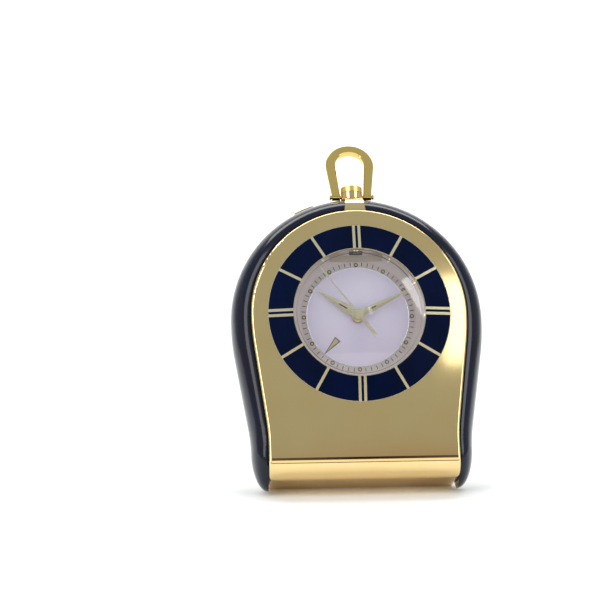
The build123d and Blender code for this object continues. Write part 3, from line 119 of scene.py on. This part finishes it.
def new_material(name):
    material = bpy.data.materials.new(name)
    material.use_nodes = True
    material.node_tree.nodes.clear()
    return material


def face_coordinates(tree):
    """Coordinates in metres in the frame of the face, wherever the piece is."""
    back = face_matrix.inverted()
    settings = {"Location": back.translation, "Rotation": back.to_euler()}
    source = add_node(tree, "ShaderNodeTexCoord")
    return add_node(tree, "ShaderNodeMapping", settings, {"Vector": source.outputs["Object"]}).outputs[0]


def stretched(tree, vector, x_size, y_size, z_size):
    """Coordinates that count one for each size in millimetres, for a pattern of that scale."""
    scale = [1 / (size * mm) for size in (x_size, y_size, z_size)]
    return add_node(tree, "ShaderNodeMapping", {"Scale": scale}, {"Vector": vector}).outputs[0]


def grain(tree, vector, detail=3.0):
    settings = {"Scale": 1.0, "Detail": detail}
    return add_node(tree, "ShaderNodeTexNoise", settings, {"Vector": vector}).outputs[0]


def between(tree, factor, low, high):
    """Turns a pattern's 0 to 1 into a value from low to high."""
    settings = {"To Min": low, "To Max": high}
    return add_node(tree, "ShaderNodeMapRange", settings, {"Value": factor}).outputs[0]


def two_colours(tree, factor, first, second):
    settings = {"data_type": "RGBA", 6: colour(first), 7: colour(second)}
    return add_node(tree, "ShaderNodeMix", settings, {0: factor}).outputs[2]


def bump(tree, height, depth_mm):
    """A relief whose full height is a depth in millimetres."""
    settings = {"Strength": 1.0, "Distance": depth_mm * mm}
    return add_node(tree, "ShaderNodeBump", settings, {"Height": height}).outputs[0]


def finish_shader(material, settings, links):
    tree = material.node_tree
    shader = add_node(tree, "ShaderNodeBsdfPrincipled", settings, links)
    add_node(tree, "ShaderNodeOutputMaterial", {}, {"Surface": shader.outputs[0]})
    return material


print("gold in linear values", [round(c, 3) for c in colour("#F2D48C")[:3]])

# %% [markdown]
# ## Gilt brass
#
# The front plate, bow, crown and hands are brass with a thin layer of gold, polished on a soft
# wheel. A metal shows little but its surroundings, so its colour tints reflections and its roughness
# blurs them. Wheel polishing leaves faint hairlines. They are a noise stretched up the face, which
# varies the roughness and makes a very shallow bump. A slow cloud of tint stands for gold that is a
# little thicker in some places. Each finish below gives its deep and pale tint, its lowest and
# highest roughness, and how wide and how deep its hairlines are in millimetres.

# %% Gilt brass
hairline_stretch = 60
gilt_cloud = 9


def gilt_brass(name, deep, pale, low_roughness, high_roughness, hairline_mm, hairline_depth_mm):
    material = new_material(name)
    tree = material.node_tree
    place = face_coordinates(tree)
    hairline_length = hairline_stretch * hairline_mm
    hairlines = grain(tree, stretched(tree, place, hairline_mm, hairline_mm, hairline_length))
    clouds = grain(tree, stretched(tree, place, gilt_cloud, gilt_cloud, gilt_cloud), 1.0)
    links = {
        "Base Color": two_colours(tree, clouds, deep, pale),
        "Roughness": between(tree, hairlines, low_roughness, high_roughness),
        "Normal": bump(tree, hairlines, hairline_depth_mm),
    }
    return finish_shader(material, {"Metallic": 1.0}, links)


plate_gilt = gilt_brass("gilt brass, wheel polished plate", "#EBCC8F", "#F0D69E", 0.04, 0.08, 0.16, 0.0001)
ring_gilt = gilt_brass("gilt brass, satin hour bars", "#EBDCB2", "#F1E6C4", 0.2, 0.3, 0.12, 0.001)
bow_gilt = gilt_brass("gilt brass, satin bow", "#DEC06A", "#E6CB7C", 0.1, 0.18, 0.12, 0.0004)
crown_gilt = gilt_brass("gilt brass, bright crown", "#F7CB6C", "#FCDA8C", 0.26, 0.36, 0.1, 0.0002)
back_gilt = gilt_brass("gilt brass, brushed back", "#C2A05A", "#D2B26E", 0.26, 0.42, 0.22, 0.005)
hand_gilt = gilt_brass("gilt brass, faceted hands", "#EFE6C0", "#F6EFD2", 0.14, 0.24, 0.1, 0.0004)
gilts = [plate_gilt, ring_gilt, bow_gilt, crown_gilt, back_gilt, hand_gilt]
print("gilt finishes", len(gilts))

# %% [markdown]
# ## Blue lacquer
#
# Lacquer is a coloured layer under a clear one that is flatted and polished until it mirrors. The
# shader's coat is that clear layer. Under it the blue is almost black and a little cloudy. The only
# texture is the slight orange peel that polishing leaves, about a millimetre across.

# %% Lacquer
lacquer_cloud = (7, 7, 12)
peel_size = 1.1


def lacquer(name, deep, pale, peel_depth_mm, coat_weight, index):
    material = new_material(name)
    tree = material.node_tree
    place = face_coordinates(tree)
    clouds = grain(tree, stretched(tree, place, *lacquer_cloud), 2.0)
    peel = grain(tree, stretched(tree, place, peel_size, peel_size, peel_size), 1.0)
    settings = {"IOR": index, "Coat Weight": coat_weight, "Coat Roughness": 0.05, "Coat IOR": 1.5}
    links = {
        "Base Color": two_colours(tree, clouds, deep, pale),
        "Roughness": between(tree, clouds, 0.14, 0.2),
        "Coat Normal": bump(tree, peel, peel_depth_mm),
    }
    return finish_shader(material, settings, links)


band_lacquer = lacquer("blue-black lacquer, case band", "#02050F", "#08102C", 0.002, 0.25, 1.3)
inlay_lacquer = lacquer("dark blue lacquer, hour ring", "#010815", "#030E34", 0.0006, 0.06, 1.14)
print("lacquers", band_lacquer.name, "and", inlay_lacquer.name)

# %% [markdown]
# ## The silvered dial
#
# The alarm disc is silvered and brushed upright, so light spreads sideways into a soft upright sheen.
# The zone outside it is the same silver with a warmer tone, grained in circles round the middle. The
# upright brushing is a noise stretched up the face. The circular one needs the distance from the
# middle, which is the length of the coordinate with its depth taken out.

# %% Silvered dial finishes
brush_mark = (0.14, 1, 9)
disc_cloud = (5, 5, 16)
circle_width = 0.11
zone_cloud = 6


def brushed_disc():
    material = new_material("silvered brass, brushed upright")
    tree = material.node_tree
    place = face_coordinates(tree)
    # Real brush marks are about 0.05 mm apart, too fine for the picture, so these are 0.14 mm.
    strokes = grain(tree, stretched(tree, place, *brush_mark), 4.0)
    clouds = grain(tree, stretched(tree, place, *disc_cloud), 1.0)
    links = {
        "Base Color": two_colours(tree, clouds, "#EAE1FF", "#F3EDFF"),
        "Roughness": between(tree, strokes, 0.3, 0.46),
        "Normal": bump(tree, strokes, 0.004),
    }
    return finish_shader(material, {"Metallic": 0.12}, links)


def radius_on_face(tree, place):
    """How far a point lies from the middle of the face, whatever its depth."""
    flat = add_node(tree, "ShaderNodeVectorMath", {"operation": "MULTIPLY", 1: (1, 0, 1)}, {0: place})
    length = add_node(tree, "ShaderNodeVectorMath", {"operation": "LENGTH"}, {0: flat.outputs[0]})
    return length.outputs["Value"]


def grained_zone():
    material = new_material("silvered brass, grained in circles")
    tree = material.node_tree
    place = face_coordinates(tree)
    radius = add_node(tree, "ShaderNodeCombineXYZ", {}, {"X": radius_on_face(tree, place)}).outputs[0]
    circles = grain(tree, stretched(tree, radius, circle_width, 1, 1), 4.0)
    clouds = grain(tree, stretched(tree, place, zone_cloud, zone_cloud, zone_cloud), 1.0)
    links = {
        "Base Color": two_colours(tree, clouds, "#D8CBCB", "#E2D7D6"),
        "Roughness": between(tree, circles, 0.34, 0.5),
        "Normal": bump(tree, circles, 0.003),
    }
    return finish_shader(material, {"Metallic": 0.12}, links)


disc_silver = brushed_disc()
zone_silver = grained_zone()
print("dial finishes", disc_silver.name, "and", zone_silver.name)

# %% [markdown]
# ## Print, paint and crystal
#
# The minute track is printed in brown-black ink and the hour dots are cream paint. Both are thin
# matt layers with a fine tooth. The crystal is clear acrylic. It gets the refraction of acrylic and
# light polishing marks, and its reflections are turned down, because the photograph was lit so that
# hardly any show.

# %% Print, paint and crystal
paint_roughness_range = 0.15
polishing_mark = 0.5


def matt_paint(name, deep, pale, tooth_mm, roughness):
    material = new_material(name)
    tree = material.node_tree
    tooth = grain(tree, stretched(tree, face_coordinates(tree), tooth_mm, tooth_mm, tooth_mm))
    links = {
        "Base Color": two_colours(tree, tooth, deep, pale),
        "Roughness": between(tree, tooth, roughness, roughness + paint_roughness_range),
        "Normal": bump(tree, tooth, 0.002),
    }
    return finish_shader(material, {"IOR": 1.45}, links)


def clear_acrylic():
    material = new_material("clear acrylic crystal")
    tree = material.node_tree
    place = face_coordinates(tree)
    marks = grain(tree, stretched(tree, place, polishing_mark, polishing_mark, polishing_mark), 2.0)
    settings = {
        "Base Color": colour("#FDFDFE"),
        "IOR": 1.49,
        "Transmission Weight": 1.0,
        "Specular IOR Level": 0.2,
    }
    links = {
        "Roughness": between(tree, marks, 0.0, 0.015),
        "Normal": bump(tree, marks, 0.0001),
    }
    return finish_shader(material, settings, links)


plate_silver = matt_paint("silvered brass, matt name plate", "#B9AA9A", "#C8BAAB", 0.15, 0.4)
print_ink = matt_paint("brown-black printing ink", "#1E1712", "#2B2119", 0.1, 0.5)
cream_paint = matt_paint("cream luminous paint", "#C9B98A", "#DDD0A4", 0.12, 0.6)
crystal_acrylic = clear_acrylic()
print("paints", print_ink.name, "and", cream_paint.name)

# %% [markdown]
# ## Movement metals
#
# Inside, the plates are rolled brass with a fine grain, the winding wheels and levers are steel, and
# the screws are polished. Nobody sees them until the back comes off, but a repairer would expect
# each to look like its metal.

# %% Movement metals
stroke_stretch = 14


def worked_metal(name, deep, pale, low_roughness, high_roughness, grain_mm):
    material = new_material(name)
    tree = material.node_tree
    place = face_coordinates(tree)
    strokes = grain(tree, stretched(tree, place, grain_mm, grain_mm, stroke_stretch * grain_mm))
    links = {
        "Base Color": two_colours(tree, strokes, deep, pale),
        "Roughness": between(tree, strokes, low_roughness, high_roughness),
        "Normal": bump(tree, strokes, 0.002),
    }
    return finish_shader(material, {"Metallic": 1.0}, links)


rolled_brass = worked_metal("brass, grained", "#C9A75A", "#D9BA72", 0.25, 0.38, 0.15)
ground_steel = worked_metal("steel, ground", "#A9ABAF", "#BCBEC2", 0.22, 0.34, 0.12)
screw_steel = worked_metal("steel, polished screws", "#B4B6BC", "#C9CBD0", 0.1, 0.18, 0.2)
blued_steel = worked_metal("steel, blued by heat", "#1E2F66", "#2A4188", 0.14, 0.24, 0.1)
print("movement metals", len([rolled_brass, ground_steel, screw_steel, blued_steel]))

# %% [markdown]
# ## Finishes onto the pieces
#
# A list of pieces for each finish keeps the choice in one place. Every piece of the model has to be
# in exactly one list, and the cell stops if one is left out.

# %% Dress the pieces
finishes = [
    (plate_gilt, ["front_plate", "pendant"]),
    (ring_gilt, ["hour_ring", "hour_marks"]),
    (bow_gilt, ["bow", "bow_screws", "alarm_push_piece"]),
    (crown_gilt, ["crown"]),
    (back_gilt, ["back_cover", "strut"]),
    (hand_gilt, ["hour_hand", "minute_hand", "seconds_hand"]),
    (band_lacquer, ["case_middle"]),
    (inlay_lacquer, ["lacquer_inlays"]),
    (disc_silver, ["alarm_disc"]),
    (zone_silver, ["dial_plate"]),
    (plate_silver, ["name_plate"]),
    (cream_paint, ["alarm_pointer", "hour_dots"]),
    (crystal_acrylic, ["crystal"]),
    (
        rolled_brass,
        [
            "crystal_retaining_ring",
            "movement_ring",
            "main_plate",
            "train_bridge",
            "barrel_bridge",
            "balance_cock",
            "pallet_cock",
            "going_barrel",
            "alarm_barrel",
            "centre_wheel",
            "third_wheel",
            "fourth_wheel",
            "cannon_pinion",
            "minute_wheel",
            "hour_wheel",
            "alarm_wheel",
            "balance_wheel",
            "gong_stud",
        ],
    ),
    (
        ground_steel,
        [
            "winding_stem",
            "push_piece_spring",
            "ratchet_wheel",
            "alarm_ratchet_wheel",
            "crown_wheel",
            "click",
            "escape_wheel",
            "pallet_fork",
            "alarm_hammer",
            "winding_pinion",
            "setting_lever",
        ],
    ),
    (screw_steel, ["back_cover_screws", "strut_hinge_pin", "bridge_screws"]),
    (blued_steel, ["hairspring"]),
]
dressed = [name for finish, names in finishes for name in names]
if sorted(dressed) != sorted(nodes):
    raise ValueError(f"not dressed once each: {sorted(set(dressed) ^ set(nodes))}")
for finish, names in finishes:
    for name in names:
        nodes[name].data.materials.clear()
        nodes[name].data.materials.append(finish)
print("dressed", len(dressed))

# %% [markdown]
# ## Making new pieces
#
# New pieces are drawn on the face in millimetres and moved into the room at the end. Round ones are
# turned: a profile of radius and depth goes round the axis, and the last step joins the first.
# Flat ones are an outline with a thickness, whose front edge is bevelled so that it catches light.

# %% Mesh helpers
hour_angle = 30
merge_distance = 1e-7


def add_piece(name, drawn, finish, body, smooth_degrees=35):
    """A bmesh drawn on the face becomes a finished piece that moves with a body of the clock."""
    drawn.transform(face_matrix)
    bmesh.ops.recalc_face_normals(drawn, faces=drawn.faces)
    mesh = bpy.data.meshes.new(name)
    drawn.to_mesh(mesh)
    drawn.free()
    mesh.materials.append(finish)
    mesh.shade_smooth()
    mesh.set_sharp_from_angle(angle=math.radians(smooth_degrees))
    piece = bpy.data.objects.new(name, mesh)
    bpy.context.scene.collection.objects.link(piece)
    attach(piece, body)
    return piece


def turn_profile(drawn, profile, steps, place=(0, 0)):
    """Turns a closed profile of (radius, depth) about an axis square to the face."""
    rings = []
    for step in range(steps):
        angle = 2 * math.pi * step / steps
        ring = []
        for radius, depth in profile:
            x = place[0] + radius * math.sin(angle)
            z = place[1] + radius * math.cos(angle)
            ring.append(drawn.verts.new((x * mm, depth * mm, z * mm)))
        rings.append(ring)
    for step in range(steps):
        here = rings[step]
        there = rings[(step + 1) % steps]
        for point in range(len(profile)):
            after = (point + 1) % len(profile)
            drawn.faces.new((here[point], here[after], there[after], there[point]))
    bmesh.ops.remove_doubles(drawn, verts=drawn.verts, dist=merge_distance)


def clock_place(radius, hour):
    """Where an hour lies on the face at a radius."""
    angle = math.radians(hour_angle * hour)
    return radius * math.sin(angle), radius * math.cos(angle)


def turned_to(angle_degrees, corners):
    """Corners drawn at twelve o'clock, turned clockwise to another place."""
    turn = math.radians(angle_degrees)
    return [
        (x * math.cos(turn) + z * math.sin(turn), -x * math.sin(turn) + z * math.cos(turn))
        for x, z in corners
    ]


def raised_shape(drawn, outline, front, back, edge):
    """A flat outline standing on the face, its front a little smaller so that its edge is bevelled."""
    middle = Vector([sum(axis) / len(outline) for axis in zip(*outline)])
    tops = []
    sides = []
    bottoms = []
    for x, z in outline:
        inward = (middle - Vector((x, z))).normalized() * edge
        tops.append(drawn.verts.new(((x + inward.x) * mm, front * mm, (z + inward.y) * mm)))
        sides.append(drawn.verts.new((x * mm, (front + edge) * mm, z * mm)))
        bottoms.append(drawn.verts.new((x * mm, back * mm, z * mm)))
    drawn.faces.new(tops)
    drawn.faces.new(bottoms)
    for upper, lower in ((tops, sides), (sides, bottoms)):
        for point in range(len(outline)):
            after = (point + 1) % len(outline)
            drawn.faces.new((upper[point], upper[after], lower[after], lower[point]))


print("one o'clock at radius 1 lies at", [round(v, 3) for v in clock_place(1, 1)])

# %% [markdown]
# ## The minute track
#
# Between the hour dots the dial has four fine printed strokes for the minutes. Ink has almost no
# height, but each stroke gets a real thickness so that it lasts in any copy of the model.

# %% Minute track
dial_level = 4.0
stroke_inner = 11.62
stroke_outer = 12.42
stroke_width = 0.16
stroke_height = 0.02
stroke_minutes = [minute for minute in range(60) if minute % 5]

track = bmesh.new()
for minute in stroke_minutes:
    out_x, out_z = clock_place(1, minute / 5)
    corners = []
    for radius, side in ((stroke_inner, -1), (stroke_inner, 1), (stroke_outer, 1), (stroke_outer, -1)):
        half = side * stroke_width / 2
        corners.append((radius * out_x + half * out_z, radius * out_z - half * out_x))
    raised_shape(track, corners, dial_level - stroke_height, dial_level, stroke_height / 4)
minute_track = add_piece("minute_track", track, print_ink, "case")
print("strokes", len(stroke_minutes), "with", len(minute_track.data.polygons), "faces")

# %% [markdown]
# ## Hour dots
#
# Each hour has a dot of cream paint with a dark printed rim round it. The rim is a flat turned
# ring. The paint is a low dome, because thick paint draws itself up in the middle.

# %% Hour dots
dot_circle = 11.87
dot_radius = 0.32
dot_rim = 0.14
dot_rise = 0.09
dot_steps = 32
dome_steps = 4
hours = 12

rims = bmesh.new()
domes = bmesh.new()
for hour in range(hours):
    place = clock_place(dot_circle, hour)
    top = dial_level - 2 * stroke_height
    rim = [(dot_radius - dot_rim / 4, dial_level), (dot_radius - dot_rim / 4, top)]
    rim += [(dot_radius + dot_rim, top), (dot_radius + dot_rim, dial_level)]
    turn_profile(rims, rim, dot_steps, place)
    dome = [(0, dial_level), (dot_radius, dial_level)]
    for step in range(dome_steps + 1):
        share = 1 - step / dome_steps
        dome.append((dot_radius * share, dial_level - stroke_height - dot_rise * (1 - share**2)))
    turn_profile(domes, dome, dot_steps, place)
dot_rims = add_piece("hour_dot_rims", rims, print_ink, "case")
dot_domes = add_piece("hour_dot_paint", domes, cream_paint, "case")
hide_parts("hour_dots")
print("dots", hours, "faces each", len(dot_domes.data.polygons) // hours)

# %% [markdown]
# ## The alarm disc's bright edge
#
# The middle of the dial is a separate disc that turns to set the alarm. Its edge was turned bright,
# and in the photograph it shows as a thin white line. A narrow rounded ring does that: whatever the
# light, some part of its curve faces it.

# %% Alarm disc edge
disc_radius = 11.4
edge_width = 0.22
edge_height = 0.07
edge_steps = 8
turn_steps = 160

disc_edge = bmesh.new()
profile = [(disc_radius - edge_width, dial_level), (disc_radius, dial_level)]
for step in range(edge_steps + 1):
    angle = math.pi * step / edge_steps
    radius = disc_radius - edge_width / 2 + edge_width / 2 * math.cos(angle)
    profile.append((radius, dial_level - edge_height * math.sin(angle)))
turn_profile(disc_edge, profile, turn_steps)
edge_silver = worked_metal("silvered brass, bright turned edge", "#E9E6F2", "#F4F2FA", 0.18, 0.26, 0.08)
alarm_disc_edge = add_piece("alarm_disc_edge", disc_edge, edge_silver, "alarm_disc", 60)
print("edge ring faces", len(alarm_disc_edge.data.polygons))

# %% [markdown]
# ## The alarm pointer's outline
#
# The pointer printed on the alarm disc is a narrow triangle, filled with cream and outlined in ink.
# The fill is the model's own piece. The outline runs from the fill's triangle to a larger one round
# it. A full mitre would run far past the narrow tip, so there it stops halfway.

# %% Pointer outline
pointer_turn = 222.5
pointer_tip = 10.7
pointer_base = 7.0
pointer_half = 0.55
outline_width = 0.19
outline_front = 0.1
outline_back = 0.005

slope = math.atan2(pointer_half, pointer_tip - pointer_base)
tip_reach = outline_width / math.sin(slope)
side_reach = outline_width * (1 + math.sin(slope)) / math.cos(slope)
inner_outline = [(0, pointer_tip), (pointer_half, pointer_base), (-pointer_half, pointer_base)]
outer_outline = [
    (0, pointer_tip + tip_reach / 2),
    (pointer_half + side_reach, pointer_base - outline_width),
    (-pointer_half - side_reach, pointer_base - outline_width),
]
outline = bmesh.new()
loops = []
for level in (dial_level - outline_front, dial_level - outline_back):
    for corners in (inner_outline, outer_outline):
        placed = turned_to(pointer_turn, corners)
        loops.append([outline.verts.new((x * mm, level * mm, z * mm)) for x, z in placed])
inner_front, outer_front, inner_back, outer_back = loops
around = [inner_front, outer_front, outer_back, inner_back, inner_front]
for one, two in zip(around, around[1:]):
    for corner in range(3):
        after = (corner + 1) % 3
        outline.faces.new((one[corner], one[after], two[after], two[corner]))
pointer_outline = add_piece("alarm_pointer_outline", outline, print_ink, "alarm_disc")
print("outline corners reach", round(tip_reach / 2, 2), "mm past the tip")

# %% [markdown]
# ## Slits in the hands, and the bar at twelve
#
# The hour and minute hands each have a short slit on the ridge near the hub, filled with dark paint.
# A slit turns with its hand. Under the double bar at twelve a short dark bar of painted shadow sits on
# the dial's rim, where the dial has already risen toward the crystal. It stands for the shade that the
# raised double bar casts there, and it takes the ink's finish. The table gives each slit's body, its
# hand's angle, the level of the ridge, and the radii where the slit starts and ends.

# %% Hand slits and twelve bar
slit_half_width = 0.13
slit_height = 0.03
bar_half_width = 1.45
bar_low = 13.98
bar_high = 14.28
bar_front = 3.2
bar_back = 3.6


def oblong(half_width, low, high):
    return [(-half_width, low), (half_width, low), (half_width, high), (-half_width, high)]


hand_slits = [("hour", 303.5, 2.85, 2.9, 4.9), ("minute", 64.0, 2.05, 2.9, 4.3)]
for body, angle_degrees, ridge_level, low, high in hand_slits:
    slit = bmesh.new()
    corners = turned_to(angle_degrees, oblong(slit_half_width, low, high))
    raised_shape(slit, corners, ridge_level - slit_height, ridge_level + slit_height, slit_height)
    add_piece(body + "_hand_slit", slit, print_ink, body)

# The bar at twelve is painted shadow: a dark strip in the ink's finish where the double bar shades the
# dial.
twelve_painted_shadow = bmesh.new()
bar_corners = oblong(bar_half_width, bar_low, bar_high)
raised_shape(twelve_painted_shadow, bar_corners, bar_front, bar_back, slit_height)
add_piece("twelve_painted_shadow", twelve_painted_shadow, print_ink, "case")
print("slits", len(hand_slits))

# %% [markdown]
# ## The studio
#
# The photograph has a white ground. The floor is a pale sheet of paper that curves up far behind
# the clock, so there is no line where the floor ends.

# %% Floor
floor_half_width = 2.0
floor_front = -3.0
floor_back = 0.55
sweep_radius = 0.35
sweep_steps = 16
fibre_size = 2

floor_lines = [(floor_front, 0.0), (floor_back, 0.0)]
for step in range(1, sweep_steps + 1):
    angle = math.pi / 2 * step / sweep_steps
    floor_lines.append((floor_back + sweep_radius * math.sin(angle), sweep_radius * (1 - math.cos(angle))))
floor_lines.append((floor_back + sweep_radius, 4 * sweep_radius))
sheet = bmesh.new()
rows = [[sheet.verts.new((side * floor_half_width, y, z)) for side in (-1, 1)] for y, z in floor_lines]
for low, high in zip(rows, rows[1:]):
    sheet.faces.new((low[0], low[1], high[1], high[0]))
floor_mesh = bpy.data.meshes.new("studio_floor")
sheet.to_mesh(floor_mesh)
sheet.free()
floor_mesh.shade_smooth()
studio_floor = bpy.data.objects.new("studio_floor", floor_mesh)
bpy.context.scene.collection.objects.link(studio_floor)


def paper_white():
    material = new_material("white background paper")
    tree = material.node_tree
    place = face_coordinates(tree)
    fibre = grain(tree, stretched(tree, place, fibre_size, fibre_size, fibre_size), 4.0)
    links = {
        "Base Color": two_colours(tree, fibre, "#F6F6F6", "#FBFBFB"),
        "Roughness": between(tree, fibre, 0.7, 0.85),
        "Normal": bump(tree, fibre, 0.005),
    }
    return finish_shader(material, {"IOR": 1.4}, links)


floor_mesh.materials.append(paper_white())
studio_floor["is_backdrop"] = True
print("floor rows", len(rows))

# %% [markdown]
# ## The lamps
#
# Two tall softboxes stand left and right of the camera. They light the dial from outside the
# direction that the flat gold mirrors, so the plate stays a calm olive while the dial is bright. A
# low one in front lifts the shadows, and one over the backdrop makes it white. The smallest sits
# exactly where the right border of the plate mirrors it into the camera, which gives the soft white
# gleam near three o'clock. The table gives each lamp's place and target in metres, its width and
# height, and its power in watts.

# %% Lamps
clock_middle = (0, 0.01, 0.035)
gleam_place = face_matrix @ Vector((126.8 * mm, -667 * mm, 183 * mm))
gleam_target = face_matrix @ Vector((22 * mm, 0, 0))
softboxes = [
    ("left softbox", (-0.62, -0.5, 0.5), clock_middle, 0.35, 0.9, 3.8),
    ("right softbox", (0.66, -0.52, 0.45), clock_middle, 0.3, 0.8, 2.9),
    ("low front fill", (0.05, -0.8, 0.16), clock_middle, 0.8, 0.22, 0.35),
    ("backdrop light", (0.0, 0.45, 1.0), (0.0, 0.6, 0.0), 1.4, 0.4, 9.5),
    ("plate highlight", gleam_place, gleam_target, 0.022, 0.05, 0.009),
]
for name, place, target, width, height, watts in softboxes:
    lamp = bpy.data.lights.new(name, "AREA")
    lamp.shape = "RECTANGLE"
    lamp.size = width
    lamp.size_y = height
    lamp.energy = watts
    holder = bpy.data.objects.new(name, lamp)
    holder.location = place
    holder.rotation_euler = (Vector(target) - Vector(place)).to_track_quat("-Z", "Y").to_euler()
    bpy.context.scene.collection.objects.link(holder)
print("lamps", len(softboxes))

# %% [markdown]
# ## The room
#
# Polished metal shows the room, so the room is drawn too, as a ramp of greys over height. A stop at
# 0 is the horizon and a stop at 1 is straight up. In a narrow zone in front of the clock the room
# also holds a dark band, with a warm line above it: the rolled foot squeezes these into the brown
# streak and the thin dark lines that run along it. The same zone lies behind the clock, where the
# paper hides it from the camera.

# %% Room
room = [(0.0, "#BDB8B0"), (0.4, "#C9C6BE"), (0.55, "#AFB6B6"), (0.75, "#AFB7BB"), (1.0, "#BFC5C9")]
in_front = [
    (0.0, "#3A2E22"),
    (0.06, "#3A2E22"),
    (0.1, "#C4BCAC"),
    (0.26, "#CFC6B2"),
    (0.32, "#120C08"),
    (0.515, "#2A1A10"),
    (0.534, "#A8683A"),
    (0.55, "#AFB5B3"),
    (1.0, "#BFC5C9"),
]
zone_middle = 0.1
zone_sharpness = 4.0

world = bpy.data.worlds.new("studio room")
bpy.context.scene.world = world
world.use_nodes = True
tree = world.node_tree
tree.nodes.clear()
direction = add_node(tree, "ShaderNodeTexCoord").outputs["Generated"]
axes = add_node(tree, "ShaderNodeSeparateXYZ", {}, {0: direction}).outputs


def maths(operation, value, constants):
    """One step of arithmetic. The constants go into the sockets that they are numbered by."""
    settings = {"operation": operation, **constants}
    return add_node(tree, "ShaderNodeMath", settings, {0: value}).outputs[0]


def colour_ramp(factor, stops):
    """A ramp whose stops are places from 0 to 1, each with a colour."""
    ramp = add_node(tree, "ShaderNodeValToRGB", {}, {"Fac": factor})
    while len(ramp.color_ramp.elements) < len(stops):
        ramp.color_ramp.elements.new(1 / 2)
    for element, (place, code) in zip(ramp.color_ramp.elements, stops):
        element.position = place
        element.color = colour(code)
    return ramp.outputs[0]


sideways = maths("ABSOLUTE", maths("SUBTRACT", axes["X"], {1: zone_middle}), {})
widened = maths("MULTIPLY", sideways, {1: zone_sharpness})
plain_room = colour_ramp(axes["Z"], room)
streaked_room = colour_ramp(axes["Z"], in_front)
shares = {0: between(tree, widened, 1.0, 0.0), 6: plain_room, 7: streaked_room}
blend = add_node(tree, "ShaderNodeMix", {"data_type": "RGBA"}, shares)
sky = add_node(tree, "ShaderNodeBackground", {"Strength": 1.0}, {"Color": blend.outputs[2]})
add_node(tree, "ShaderNodeOutputWorld", {}, {"Surface": sky.outputs[0]})
print("room stops", len(room), "and", len(in_front))

# %% [markdown]
# ## The camera
#
# The camera's place was worked out from the photograph: the hour ring is a true circle on the clock,
# and how it is squashed in the picture tells where the lens was. The three rows are the picture's
# right, down and forward directions on the face, and the shift is the face's middle seen from it.

# %% Camera
picture_right = Vector((0.9977, -0.06, -0.0306))
picture_down = Vector((-0.0127, 0.2792, -0.9602))
picture_forward = Vector((0.0661, 0.9584, 0.2778))
face_middle_seen = Vector((12.979, 2.640, 409.76))
focal_pixels = 1881.4
picture_pixels = 600
sensor_mm = 36.0
nearest_seen = 0.01

to_picture = Matrix((picture_right, picture_down, picture_forward))
camera_place = -(to_picture.transposed() @ face_middle_seen) * mm
turn = Matrix((picture_right, -picture_down, -picture_forward)).transposed().to_4x4()
turn.translation = camera_place
lens = bpy.data.cameras.new("camera")
lens.sensor_width = sensor_mm
lens.lens = focal_pixels / picture_pixels * sensor_mm
lens.clip_start = nearest_seen
camera = bpy.data.objects.new("camera", lens)
camera.matrix_world = face_matrix @ turn
bpy.context.scene.collection.objects.link(camera)
bpy.context.scene.camera = camera
bpy.context.scene.view_settings.view_transform = "Standard"
print("camera at", [round(v, 3) for v in camera.matrix_world.translation], "lens", round(lens.lens, 1))

# %% [markdown]
# ## Last check
#
# Dressing must not change the clock's size. The box round everything is measured again, and how
# much it grew over the model's own box is printed in millimetres.

# %% Sizes and finish
low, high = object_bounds()
growth = [round((a - b) / mm, 3) for a, b in zip(high - low, cad_high - cad_low)]
print("visual box grows by mm", growth)
